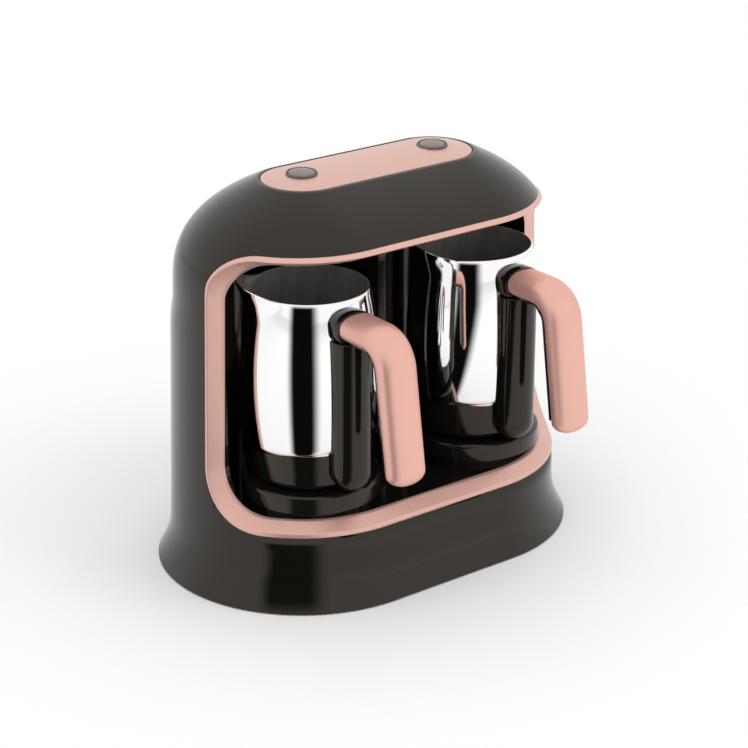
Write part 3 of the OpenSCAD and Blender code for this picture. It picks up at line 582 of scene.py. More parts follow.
HEATER = SatinMetal("heater_aluminium", (0.62, 0.62, 0.64), 0.35, 1.0)
CORE = MouldedPlastic("core_iron", (0.2, 0.15, 0.05), 0.4)
WIRE = MouldedPlastic("wire_red", (0.35, 0.015, 0.015), 0.45)

FINISHES = {
    finish.name: finish
    for finish in (
        HOUSING, LINER, HANDLE_GLOSS, ROSE, ROSE_PLATE, STEEL, BUTTON, BRIGHT, SCREW, SPRING, PLASTIC,
        PART, CREAM, LIGHT, RELAY, PAD, SEAL, BOARD, LENS, BRASS, HEATER, CORE, WIRE,
    )
}


def dress_nodes(nodes: dict[str, bpy.types.Object], record: dict[str, Any]) -> None:
    """Gives every carried-over solid the finish of its material slot.

    Args:
        nodes: The solids by name.
        record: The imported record.
    """
    slots = {part["node"]: part["material_slot"] for part in record["subparts"]}
    for name, solid in nodes.items():
        material = FINISHES[slots[name]].material()
        solid.data.materials.clear()
        solid.data.materials.append(material)
        LOG.info("dressed %s in %s", name, slots[name])


@dataclass(frozen=True)
class Sizes:
    """The named sizes of the solids, in millimetres and degrees."""

    half_gap: float = 44.7
    column_radius: float = 81.6
    column_draft: float = 0.03
    wall: float = 2.6
    foot_radius: float = 89.7
    flare_height: float = 34.0
    flare_inset: float = 0.25
    top_height: float = 235.1
    top_forward: float = 3.9
    top_tilt: float = 1.0
    shoulder_depth: float = 70.0
    shoulder_power: float = 3.2
    shoulder_proud: float = 0.6
    plate_half: float = 47.1
    plate_radius: float = 23.6
    plate_lip: float = 1.2
    pocket_gap: float = 0.4
    plate_thick: float = 2.2
    plate_crown: float = 2.6
    button_x: float = 47.1
    bezel_radius: float = 9.3
    board_depth: float = 18.0
    spring_radius: float = 4.0
    spring_turns: int = 5
    wire: float = 0.35
    button_travel: float = 1.5
    opening_bottom: float = 44.8
    opening_top: float = 208.7
    opening_rear: float = 12.5
    low_radius: float = 35.0
    high_radius: float = 27.0
    trim_depth: float = 7.0
    trim_side: float = 4.5
    trim_head: float = 7.0
    trim_sill: float = 7.8
    rear_half_width: float = 62.0
    rear_low: float = 24.0
    rear_high: float = 149.1
    rear_corner: float = 12.0
    pot_x: float = 60.3
    pot_forward: float = 28.8
    belly_radius: float = 40.3
    belly_height: float = 124.02
    mouth_radius: float = 34.2
    mouth_height: float = 181.4
    steel_wall: float = 1.2
    pot_bottom: float = 67.1
    cup_radius: float = 35.0
    cup_joint: float = 88.0
    cup_slope: float = 7.0
    spout_reach: float = 43.0
    spout_radius: float = 28.0
    spout_rise: float = 6.0
    spout_turn: float = 20.0
    spout_depth: float = 16.0
    pod_offset: float = 38.5
    pod_radius: float = 12.3
    grip_width: float = 24.0
    grip_thick: float = 15.0
    grip_height: float = 169.0
    grip_reach: float = 89.0
    grip_end: float = 97.0
    grip_bend: float = 17.0
    grip_lean: float = 8.6

    def column_at(self, height: float) -> float:
        """Radius of the column ends at a height."""
        return self.column_radius - self.column_draft * height

    def flare_at(self, height: float) -> float:
        """Radius of the foot flare at a height."""
        top = self.column_at(self.flare_height) - self.flare_inset
        drop = self.foot_radius - top
        bend = (self.flare_height ** 2 + drop ** 2) / (2.0 * drop)
        rise = max(0.0, self.flare_height - max(0.0, height))
        return top + bend - math.sqrt(bend * bend - rise * rise)

    @property
    def shoulder_radius(self) -> float:
        """Radius of the shoulder where it starts."""
        column = self.column_at(self.top_height - self.shoulder_depth)
        return column + self.half_gap - self.plate_half + self.shoulder_proud

    def shoulder_at(self, depth: float, inset: float = 0.0) -> float:
        """Radius of the shoulder at a depth below the top plate."""
        share = min(1.0, max(0.0, 1.0 - depth / self.shoulder_depth))
        top = self.plate_radius + self.plate_lip + self.pocket_gap
        return self.shoulder_radius - inset - (self.shoulder_radius - top) * share ** self.shoulder_power

    def belly_at(self, height: float) -> float:
        """Radius of the pot's belly at a height."""
        share = (height - self.belly_height) / (self.mouth_height - self.belly_height)
        return self.belly_radius - (self.belly_radius - self.mouth_radius) * share * share


SIZES = Sizes()


def polar(radius: float, angle: float) -> Pair:
    """The two coordinates of a radius at an angle in degrees."""
    return radius * math.cos(math.radians(angle)), radius * math.sin(math.radians(angle))


def spokes(count: int, offset: float = 0.0) -> list[Pair]:
    """Cosine and sine of evenly spaced directions, the first one offset by a share of a step."""
    turns = [2.0 * math.pi * (j + offset) / count for j in range(count)]
    return [(math.cos(turn), math.sin(turn)) for turn in turns]


def soft_max(first: float, second: float, reach: float) -> float:
    """The larger of two values, rounded where they meet."""
    blend = max(0.0, reach - abs(first - second)) / reach
    return max(first, second) + blend * blend * reach * 0.25


def bisect(test: Callable[[float], float], low: float, high: float, steps: int = 26) -> float:
    """The place where a rising function passes zero.

    Args:
        test: The function, below zero at low and above zero at high.
        low: Lower bound.
        high: Upper bound.
        steps: Number of halvings.

    Returns:
        The place of the crossing.
    """
    for _ in range(steps):
        middle = (low + high) / 2.0
        if test(middle) > 0.0:
            high = middle
        else:
            low = middle
    return (low + high) / 2.0


class Skin:
    """The outside of the housing as a field: below zero inside, above zero outside."""

    FLARE_BLEND = 6.0
    FLARE_FOLD = 1.2
    TOP_PROUD = 0.02
    SHOULDER_BLEND = 3.0
    SHOULDER_SPREAD = 8.0 / 30.0
    EASED_REACH = 32.0
    EASED_STEP = 3.5
    EASED_STEPS = 4
    EASED_DROP = 8.0
    SLOPE_STEP = 0.05
    PLAIN_DEPTH = 12.0
    REACH_BOUNDS = (30.0, 95.0)

    def __init__(self, sizes: Sizes) -> None:
        """Keeps the sizes and the slope of the top."""
        self.sizes = sizes
        self.sine = math.sin(math.radians(sizes.top_tilt))
        self.cosine = math.cos(math.radians(sizes.top_tilt))

    def top_frame(self, x: float, y: float, z: float) -> Point:
        """A point in the frame of the top plate, with the depth below it last."""
        s = self.sizes
        across, rise = y + s.top_forward, z - s.top_height
        return x, across * self.cosine + rise * self.sine, across * self.sine - rise * self.cosine

    def field(self, x: float, y: float, z: float) -> float:
        """The signed gap to the outside of the housing.

        Args:
            x: Place to the right.
            y: Place to the back.
            z: Height.

        Returns:
            Below zero inside, above zero outside.
        """
        s = self.sizes
        around = s.column_at(z)
        if z < s.flare_height + self.FLARE_BLEND:
            around = soft_max(around, s.flare_at(min(z, s.flare_height)), self.FLARE_FOLD)
        column = math.hypot(max(0.0, abs(x) - s.half_gap), y) - around
        side, across, depth = self.top_frame(x, y, z)
        ring = s.shoulder_at(depth)
        if depth > s.shoulder_depth:
            ring += (depth - s.shoulder_depth) * self.SHOULDER_SPREAD
        shoulder = math.hypot(max(0.0, abs(side) - s.plate_half), across) - ring
        return max(soft_max(column, shoulder, self.SHOULDER_BLEND), -depth - self.TOP_PROUD)

    def normal(self, x: float, y: float, z: float) -> Vector:
        """The outward direction at a point of the skin, from the field around it.

        Args:
            x: Place to the right.
            y: Place to the back.
            z: Height.

        Returns:
            A vector of length one.
        """
        step = self.SLOPE_STEP
        return Vector((
            self.field(x + step, y, z) - self.field(x - step, y, z),
            self.field(x, y + step, z) - self.field(x, y - step, z),
            self.field(x, y, z + step) - self.field(x, y, z - step),
        )).normalized()

    def eased_normal(self, x: float, y: float, z: float) -> Vector:
        """The outward direction, eased over the height where the shoulder leaves the column.

        Args:
            x: Place to the right.
            y: Place to the back.
            z: Height.

        Returns:
            A vector of length one.
        """
        joint = self.sizes.top_height - self.sizes.shoulder_depth - self.EASED_DROP
        if abs(z - joint) > self.EASED_REACH:
            return self.normal(x, y, z)
        total = Vector((0.0, 0.0, 0.0))
        for step in range(-self.EASED_STEPS, self.EASED_STEPS + 1):
            total += self.normal(x, y, z + self.EASED_STEP * step) * (self.EASED_STEPS + 1 - abs(step))
        return total.normalized()

    def reach(self, angle: float, height: float, inset: float) -> float:
        """Distance from the end centre to the skin.

        Args:
            angle: Angle from the right end towards the front, in degrees.
            height: Height of the point.
            inset: Depth below the skin.

        Returns:
            The distance.
        """
        s = self.sizes
        around = s.column_at(height) - inset
        if height < s.top_height - s.shoulder_depth - self.PLAIN_DEPTH:
            return around
        cosine, sine = polar(1.0, angle)

        def gap(reach: float) -> float:
            """How far past the shoulder a reach goes."""
            side, across, depth = self.top_frame(s.half_gap + reach * cosine, -reach * sine, height)
            return math.hypot(max(0.0, side - s.plate_half), across) - s.shoulder_at(depth - inset, inset)

        return min(around, bisect(gap, *self.REACH_BOUNDS, 20))

    def at_angle(self, angle: float, height: float, inset: float) -> Point:
        """Point of the skin at an angle round the right end."""
        across, forward = polar(self.reach(angle, height, inset), angle)
        return self.sizes.half_gap + across, -forward, height

    def at_front(self, across: float, height: float, inset: float) -> Point:
        """Point of the skin of the right end at a distance towards the front."""
        reach = self.sizes.column_at(height) - inset
        for _ in range(3):
            angle = math.degrees(math.asin(min(1.0, -across / reach)))
            reach = self.reach(angle, height, inset)
        return self.at_angle(math.degrees(math.asin(min(1.0, -across / reach))), height, inset)


SKIN = Skin(SIZES)


def new_object(
    name: str, points: Sequence[Sequence[float]], faces: Sequence[Sequence[int]], closed: bool = True
) -> bpy.types.Object:
    """A new object in the scene.

    Args:
        name: Name of the object and of its mesh.
        points: Points in metres.
        faces: Corner numbers of the faces.
        closed: Merge points that meet and turn the faces outwards.

    Returns:
        The object.
    """
    mesh = bpy.data.meshes.new(name)
    mesh.from_pydata([tuple(spot) for spot in points], [], [tuple(face) for face in faces])
    if closed:
        mesh.validate()
        form = bmesh.new()
        form.from_mesh(mesh)
        bmesh.ops.remove_doubles(form, verts=form.verts, dist=MERGE_REACH)
        bmesh.ops.recalc_face_normals(form, faces=form.faces)
        form.to_mesh(mesh)
        form.free()
    made = bpy.data.objects.new(name, mesh)
    bpy.context.collection.objects.link(made)
    return made


@dataclass
class Piece:
    """One visible piece: its mesh, what it rides on and what it stands for."""

    name: str
    body: str
    slot: str
    stands_for: tuple[str, ...] = ()
    shading: Shading = Shading.SMOOTH
    origin: Point = (0.0, 0.0, 0.0)
    finish: Finish | None = None
    obj: bpy.types.Object = field(init=False)

    def make(self, points: Sequence[Sequence[float]], faces: Sequence[Sequence[int]]) -> bpy.types.Object:
        """Makes the object from points in millimetres.

        Args:
            points: Points relative to the piece's origin.
            faces: Corner numbers of the faces.

        Returns:
            The object, dressed and riding on its body.
        """
        self.obj = new_object(self.name, [(x * MM, y * MM, z * MM) for x, y, z in points], faces)
        self.obj.location = tuple(v * MM for v in self.origin)
        mesh = self.obj.data
        self.shade()
        mesh.materials.append((self.finish or FINISHES[self.slot]).material())
        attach(self.obj, self.body)
        if self.stands_for:
            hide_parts(*self.stands_for)
        LOG.info("%s: %d faces, on %s, for %s", self.name, len(mesh.polygons), self.body, self.stands_for)
        return self.obj

    def shade(self) -> None:
        """Smooths the faces, all over or up to an angle."""
        mesh = self.obj.data
        mesh.polygons.foreach_set("use_smooth", [True] * len(mesh.polygons))
        if self.shading is Shading.BY_ANGLE:
            mesh.set_sharp_from_angle(angle=math.radians(SHARP_ANGLE))

    def cut(self, *tools: bpy.types.Object) -> None:
        """Cuts closed tools out of the piece and removes them.

        Args:
            tools: Closed cutting objects.
        """
        for tool in tools:
            step = self.obj.modifiers.new("cut", "BOOLEAN")
            step.operation = "DIFFERENCE"
            step.solver = "EXACT"
            step.object = tool
        view = bpy.context.evaluated_depsgraph_get()
        mesh = bpy.data.meshes.new_from_object(self.obj.evaluated_get(view))
        self.obj.modifiers.clear()
        self.obj.data = mesh
        for tool in tools:
            bpy.data.objects.remove(tool)
        self.shade()


def loop_faces(
    rows: int, columns: int, closed_rows: bool = False, closed_columns: bool = True
) -> list[list[int]]:
    """Faces of a grid of points that may close on itself either way.

    Args:
        rows: Number of rows.
        columns: Points in a row.
        closed_rows: The last row meets the first.
        closed_columns: The last point of a row meets its first.

    Returns:
        Four corners for each face.
    """
    return [
        [
            i * columns + j,
            i * columns + (j + 1) % columns,
            ((i + 1) % rows) * columns + (j + 1) % columns,
            ((i + 1) % rows) * columns + j,
        ]
        for i in range(rows if closed_rows else rows - 1)
        for j in range(columns if closed_columns else columns - 1)
    ]


def cap(row: int, count: int) -> list[int]:
    """A face over one row of a grid of points."""
    return [row * count + j for j in range(count)]


def squared(value: float, power: float) -> float:
    """A sine or cosine bent towards a square outline by a power below 1."""
    return math.copysign(abs(value) ** power, value)


def prism(name: str, outline: Sequence[Pair], axis: int, low: float, high: float) -> bpy.types.Object:
    """A closed cutting prism.

    Args:
        name: Name of the object.
        outline: Points across the axis, in the order of the other two axes.
        axis: 0, 1 or 2 for the axis along which it is drawn out.
        low: Start along the axis.
        high: End along the axis.

    Returns:
        The object.
    """
    count = len(outline)
    others = [k for k in range(3) if k != axis]
    points = []
    for end in (low, high):
        for pair in outline:
            spot = [0.0, 0.0, 0.0]
            spot[axis] = end * MM
            spot[others[0]], spot[others[1]] = pair[0] * MM, pair[1] * MM
            points.append(spot)
    faces = [list(range(count)), list(range(2 * count - 1, count - 1, -1))]
    faces += [[j, j + count, (j + 1) % count + count, (j + 1) % count] for j in range(count)]
    return new_object(name, points, faces)


def arc(centre: Pair, radius: float, start: float, end: float, steps: int) -> list[Pair]:
    """Points of an arc in a plane, both ends included.

    Args:
        centre: Centre of the arc.
        radius: Its radius.
        start: Angle at the start, in degrees.
        end: Angle at the end, in degrees.
        steps: Number of steps between them.

    Returns:
        The points.
    """
    spots = [polar(radius, start + (end - start) * i / steps) for i in range(steps + 1)]
    return [(centre[0] + across, centre[1] + up) for across, up in spots]


@dataclass
class Housing:
    """The gloss shell with its opening, the metal frame round it, the top plate and the button springs.

    In millimetres and degrees. frame_section holds the share from the outer to the inner edge and the
    depth below the skin, pocket_edge the inset and the drop. frame_corners and frame_angles are for the
    lower and the upper corner. The bounds are where a reach is looked for. opening_tool holds the front
    reach and the half width, doorway_tool its start and end.
    """

    sizes: Sizes
    skin: Skin
    arc_steps: int = 56
    run_steps: int = 14
    turn_height: float = 130.0
    upper_steps: int = 44
    foot_heights: tuple[float, ...] = (0.8, 1.2, 2.0)
    flare_steps: int = 12
    plain_heights: tuple[float, ...] = (48.0, 64.0, 80.0, 96.0, 112.0)
    skin_reach: float = 0.03
    foot_edge: float = 1.5
    top_edge: float = 0.4
    corner_steps: int = 24
    doorway_steps: int = 8
    pocket_edge: tuple[Pair, ...] = ((0.42, 0.04), (0.14, 0.14), (0.04, 0.42), (0.0, 1.2), (0.0, 2.6))
    pocket_depth: float = 7.5
    pocket_wall: float = 4.0
    frame_steps: tuple[int, ...] = (4, 26, 22, 14, 22, 22, 4)
    frame_section: tuple[Pair, ...] = (
        (0.0, 2.0), (0.0, 0.25), (0.02, -0.1), (0.07, -0.3), (0.15, -0.42), (0.24, -0.44), (0.32, -0.36),
        (0.38, -0.1), (0.42, 0.35), (0.5, 1.2), (0.7, 3.45), (0.9, 5.75), (0.96, 6.45),
    )
    frame_corners: Pair = (7.0, 4.0)
    frame_angles: Pair = (30.0, 40.0)
    level_bounds: Pair = (20.0, 110.0)
    upper_bounds: Pair = (40.0, 150.0)
    edge_bounds: Pair = (0.0, 70.0)
    opening_tool: Pair = (140.0, 160.0)
    doorway_tool: Pair = (50.0, 120.0)
    doorway_play: float = 0.3
    lid_arc: int = 48
    lid_run: int = 16
    lid_rings: int = 15
    lid_chamfer: float = 0.4
    lid_edge: tuple[Pair, ...] = ((0.0, 0.9), (0.06, 0.55), (0.2, 0.3))
    lid_drop: float = 0.08
    hole_lip: float = 0.8
    hole_bounds: Pair = (-12.0, 9.0)
    hole_around: int = 64
    seat_play: float = 0.1
    seat_depth: float = 0.45
    coil_steps: int = 36
    wire_around: int = 10
    coil_play: float = 0.1
    spring_seat: float = 4.0

    def rays(self) -> list[tuple[float, float, float]]:
        """Foot point on the middle line and direction of each column of the shell."""
        half = self.sizes.half_gap
        found = []
        for side, start in ((1, -90.0), (-1, 90.0)):
            for i in range(self.arc_steps):
                turn = math.radians(start + 180.0 * i / self.arc_steps)
                found.append((side * half, math.cos(turn), math.sin(turn)))
            for i in range(self.run_steps):
                found.append((side * (half - 2.0 * half * i / self.run_steps), 0.0, float(side)))
        return found

    def outer(self, ray: tuple[float, float, float]) -> list[Point]:
        """Points of one column from the rim up to the plate pocket.

        Args:
            ray: Foot point on the middle line and direction of the column.

        Returns:
            The points, from the bottom up.
        """
        s, field_at = self.sizes, self.skin.field
        foot, cosine, sine = ray
        start, steps = self.foot_heights[-1], self.flare_steps
        flare = [start + s.flare_height * i / steps for i in range(1, steps + 1)]
        column = []
        for z in (*self.foot_heights, *flare, *self.plain_heights):
            reach = bisect(lambda r: field_at(foot + r * cosine, r * sine, z), *self.level_bounds)
            column.append((foot + reach * cosine, reach * sine, z))

        def plate_gap(reach: float) -> float:
            """How far past the edge of the plate pocket a reach goes."""
            side = max(0.0, abs(foot + reach * cosine) - s.plate_half)
            across = (reach * sine + s.top_forward) / self.skin.cosine
            return math.hypot(side, across) - s.plate_radius - s.pocket_gap

        edge = bisect(plate_gap, *self.edge_bounds)
        edge_height = s.top_height + (edge * sine + s.top_forward) * self.skin.sine / self.skin.cosine
        last = math.atan2(edge_height - self.turn_height, edge)
        for i in range(self.upper_steps):
            turn = last * i / self.upper_steps
            up, out = math.sin(turn), math.cos(turn)
            low = self.turn_height
            reach = bisect(
                lambda r: field_at(foot + r * out * cosine, r * out * sine, low + r * up), *self.upper_bounds
            )
            column.append((foot + reach * out * cosine, reach * out * sine, low + reach * up))
        for inset, drop in self.pocket_edge:
            reach = edge + inset
            column.append((foot + reach * cosine, reach * sine, edge_height - drop))
        return column

    def shell(self) -> None:
        """The shell, cut open and with the rear doorway."""
        s = self.sizes
        rays = self.rays()
        columns = [self.outer(ray) for ray in rays]
        rows = len(columns[0])
        edge_rows = len(self.pocket_edge)
        pocket = s.top_height - self.pocket_depth
        outside = [[column[i] for column in columns] for i in range(rows)]
        inside = []
        for i in range(rows - 1, -1, -1):
            line = []
            for j, ray in enumerate(rays):
                x, y, z = columns[j][i]
                if i >= rows - edge_rows:
                    spot = (x + self.pocket_wall * ray[1], y + self.pocket_wall * ray[2], pocket)
                elif i < 2:
                    spot = (x - s.wall * ray[1], y - s.wall * ray[2], z)
                else:
                    away = self.skin.normal(x, y, z)
                    spot = (x - s.wall * away[0], y - s.wall * away[1], z - s.wall * away[2])
                    spot = (spot[0], spot[1], min(spot[2], pocket))
                line.append(spot)
            inside.append(line)
        merged = outside + [inside[0]] + inside[edge_rows:]
        points = [spot for line in merged for spot in line]
        piece = Piece("housing_shell", "housing", "housing_gloss", ("main_housing",), Shading.BY_ANGLE)
        piece.make(points, loop_faces(len(merged), len(rays), closed_rows=True))
        rear = s.opening_rear
        low, high = s.low_radius, s.high_radius
        front, half = self.opening_tool
        opening = [(-front, s.opening_bottom)]
        opening += arc((-rear - low, s.opening_bottom + low), low, -90.0, 0.0, self.corner_steps)
        opening += arc((-rear - high, s.opening_top - high), high, 0.0, 90.0, self.corner_steps)
        opening += [(-front, s.opening_top)]
        play, bend = self.doorway_play, s.rear_corner
        wide, low, high = s.rear_half_width + play, s.rear_low - play, s.rear_high + play
        corners = ((wide - bend, low + bend), (wide - bend, high - bend))
        corners += ((bend - wide, high - bend), (bend - wide, low + bend))
        doorway = []
        for quarter, corner in enumerate(corners):
            doorway += arc(corner, bend, 90.0 * (quarter - 1), 90.0 * quarter, self.doorway_steps)
        doorway_tool = prism("doorway_tool", doorway, 1, *self.doorway_tool)
        piece.cut(prism("opening_tool", opening, 0, -half, half), doorway_tool)
        self.true_normals(piece.obj.data)

    def true_normals(self, mesh: bpy.types.Mesh) -> None:
        """Shades the outside by its exact form, so that reflections run clean past the cuts.

        Args:
            mesh: The mesh of the shell.
        """
        normals = []
        for corner in mesh.vertices:
            x, y, z = (v / MM for v in corner.co)
            near = abs(self.skin.field(x, y, z)) < self.skin_reach and z > self.foot_edge
            _, _, depth = self.skin.top_frame(x, y, z)
            plain = Vector((0.0, 0.0, 0.0))
            normals.append(self.skin.eased_normal(x, y, z) if near and depth > self.top_edge else plain)
        mesh.normals_split_custom_set_from_vertices(normals)

    def rim_point(self, run: int, share: float, edge: float, inset: float) -> Point:
        """Point on the right half of the frame.

        Args:
            run: Which stretch of the frame, from the middle of the sill to the middle of the head.
            share: Part of that stretch.
            edge: 0 at the outer edge of the frame to 1 at the inner edge.
            inset: Depth below the skin.

        Returns:
            The point.
        """
        s, skin = self.sizes, self.skin
        rear = -s.opening_rear - s.trim_side * edge
        sill = s.opening_bottom + s.trim_sill * edge
        head = s.opening_top - s.trim_head * edge
        low, high = s.low_radius - self.frame_corners[0] * edge, s.high_radius - self.frame_corners[1] * edge
        low_angle = math.degrees(math.asin((low - rear) / skin.reach(self.frame_angles[0], sill, inset)))
        high_angle = math.degrees(math.asin((high - rear) / skin.reach(self.frame_angles[1], head, inset)))
        turn = math.radians(90.0 * share)
        if run == 0:
            return s.half_gap * share, skin.at_angle(90.0, sill, inset)[1], sill
        if run == 1:
            return skin.at_angle(90.0 + (low_angle - 90.0) * share, sill, inset)
        if run == 2:
            across, up = rear - low + low * math.sin(turn), sill + low * (1.0 - math.cos(turn))
            return skin.at_front(across, up, inset)
        if run == 3:
            return skin.at_front(rear, sill + low + (head - high - sill - low) * share, inset)
        if run == 4:
            across, up = rear - high + high * math.cos(turn), head - high + high * math.sin(turn)
            return skin.at_front(across, up, inset)
        if run == 5:
            return skin.at_angle(high_angle + (90.0 - high_angle) * share, head, inset)
        return s.half_gap * (1.0 - share), skin.at_angle(90.0, head, inset)[1], head

    def frame(self) -> None:
        """The metal frame: a rolled lip on the skin and a face that slopes into the bay."""
        s = self.sizes
        back = ((1.0, s.trim_depth), (1.0, s.trim_depth + 2.2), (0.35, s.wall + 2.0))
        section = self.frame_section + back
        stations = [(0, 0.0)]
        for run, steps in enumerate(self.frame_steps):
            stations += [(run, i / steps) for i in range(1, steps + 1)]
        loop = [(station, 1.0) for station in stations]
        loop += [(station, -1.0) for station in stations[-2:0:-1]]
        made = {station: [self.rim_point(*station, *corner) for corner in section] for station in stations}
        points = [(side * x, y, z) for station, side in loop for x, y, z in made[station]]
        piece = Piece("bay_frame", "housing", "rose_metal", ("opening_trim",), Shading.BY_ANGLE)
        piece.make(points, loop_faces(len(loop), len(section), closed_rows=True))

    def lid(self) -> None:
        """The domed top plate, with a rounded edge and a seat for each button ring."""
        s = self.sizes
        bend = (s.plate_radius ** 2 + s.plate_crown ** 2) / (2.0 * s.plate_crown)
        chamfer = self.lid_chamfer
        profile = [(s.plate_radius - chamfer, -s.plate_thick), (s.plate_radius, -s.plate_thick + chamfer)]
        profile += [(s.plate_radius - inset, -drop) for inset, drop in self.lid_edge]
        domed = profile[-1][0]
        for i in range(1, self.lid_rings):
            out = domed * (1.0 - i / self.lid_rings)
            profile.append((out, s.plate_crown - bend + math.sqrt(bend * bend - out * out) - self.lid_drop))
        points: list[Point] = []
        count = 0
        for side, start in ((1, -90.0), (-1, 90.0)):
            turns = [math.radians(start + 180.0 * i / self.lid_arc) for i in range(self.lid_arc + 1)]
            steps = [(side * s.plate_half, turn) for turn in turns]
            for i in range(1, self.lid_run):
                steps.append((side * (s.plate_half - 2.0 * s.plate_half * i / self.lid_run), turns[-1]))
            for middle, turn in steps:
                points += [(middle + out * math.cos(turn), out * math.sin(turn), up) for out, up in profile]
                count += 1
        ridge = [k * len(profile) + len(profile) - 1 for k in range(count)]
        faces = loop_faces(count, len(profile), closed_rows=True, closed_columns=False)
        faces.append(ridge)
        faces.append([k * len(profile) for k in range(count)])
        piece = Piece("lid_plate", "housing", "rose_plate", ("top_plate",), Shading.BY_ANGLE)
        piece.make([self.on_top(*spot) for spot in points], faces)
        tools = []
        deep, high = self.hole_bounds
        hole = (s.bezel_radius - self.hole_lip, deep)
        seat = (s.bezel_radius + self.seat_play, s.plate_crown - self.seat_depth)
        for side in Side:
            for radius, low in (hole, seat):
                ring = arc((side.value * s.button_x, 0.0), radius, 0.0, 360.0, self.hole_around)[:-1]
                tool = prism("button_tool", ring, 2, low, high)
                tool.data.transform(self.top_matrix())
                tools.append(tool)
        piece.cut(*tools)

    def top_matrix(self) -> Matrix:
        """Carries a point from the frame of the top plate to the frame of the part, in metres."""
        s = self.sizes
        move = Matrix.Translation((0.0, -s.top_forward * MM, s.top_height * MM))
        return move @ Matrix.Rotation(math.radians(s.top_tilt), 4, "X")

    def on_top(self, x: float, y: float, z: float) -> Point:
        """A point of the top plate's frame in the frame of the part, in millimetres."""
        spot = self.top_matrix() @ Vector((x * MM, y * MM, z * MM))
        return spot[0] / MM, spot[1] / MM, spot[2] / MM

    def coil(self, side: Side) -> None:
        """The return spring under one button.

        Args:
            side: Which button.
        """
        s = self.sizes
        per_turn, around = self.coil_steps, self.wire_around
        gap = s.wire + self.coil_play
        low, high = s.plate_crown - s.board_depth + gap, s.plate_crown - self.spring_seat - gap
        total = s.spring_turns * per_turn
        points = []
        for i in range(total + 1):
            turn, up = 2.0 * math.pi * i / per_turn, low + (high - low) * i / total
            for cosine, sine in spokes(around):
                out = s.spring_radius + s.wire * cosine
                x, y = side.value * s.button_x + out * math.cos(turn), out * math.sin(turn)
                points.append(self.on_top(x, y, up + s.wire * sine))
        faces = loop_faces(total + 1, around)
        faces += [cap(0, around), cap(total, around)]
        piece = Piece(f"{side.word}_coil", "housing", "spring_steel", (f"{side.word}_button_spring",))
        made = piece.make(points, faces)
        foot = self.on_top(side.value * s.button_x, 0.0, low - s.wire)
        top = self.on_top(side.value * s.button_x, 0.0, high + s.wire)
        axis = tuple(b - a for a, b in zip(foot, top))
        tall = high - low + 2.0 * s.wire
        tuple(v * MM for v in foot)
        (tall - s.button_travel) / tall
        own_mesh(made)

    def build(self) -> None:
        """Builds the shell, the frame, the lid and the springs under the buttons."""
        self.shell()
        self.frame()
        self.lid()
        for side in Side:
            self.coil(side)


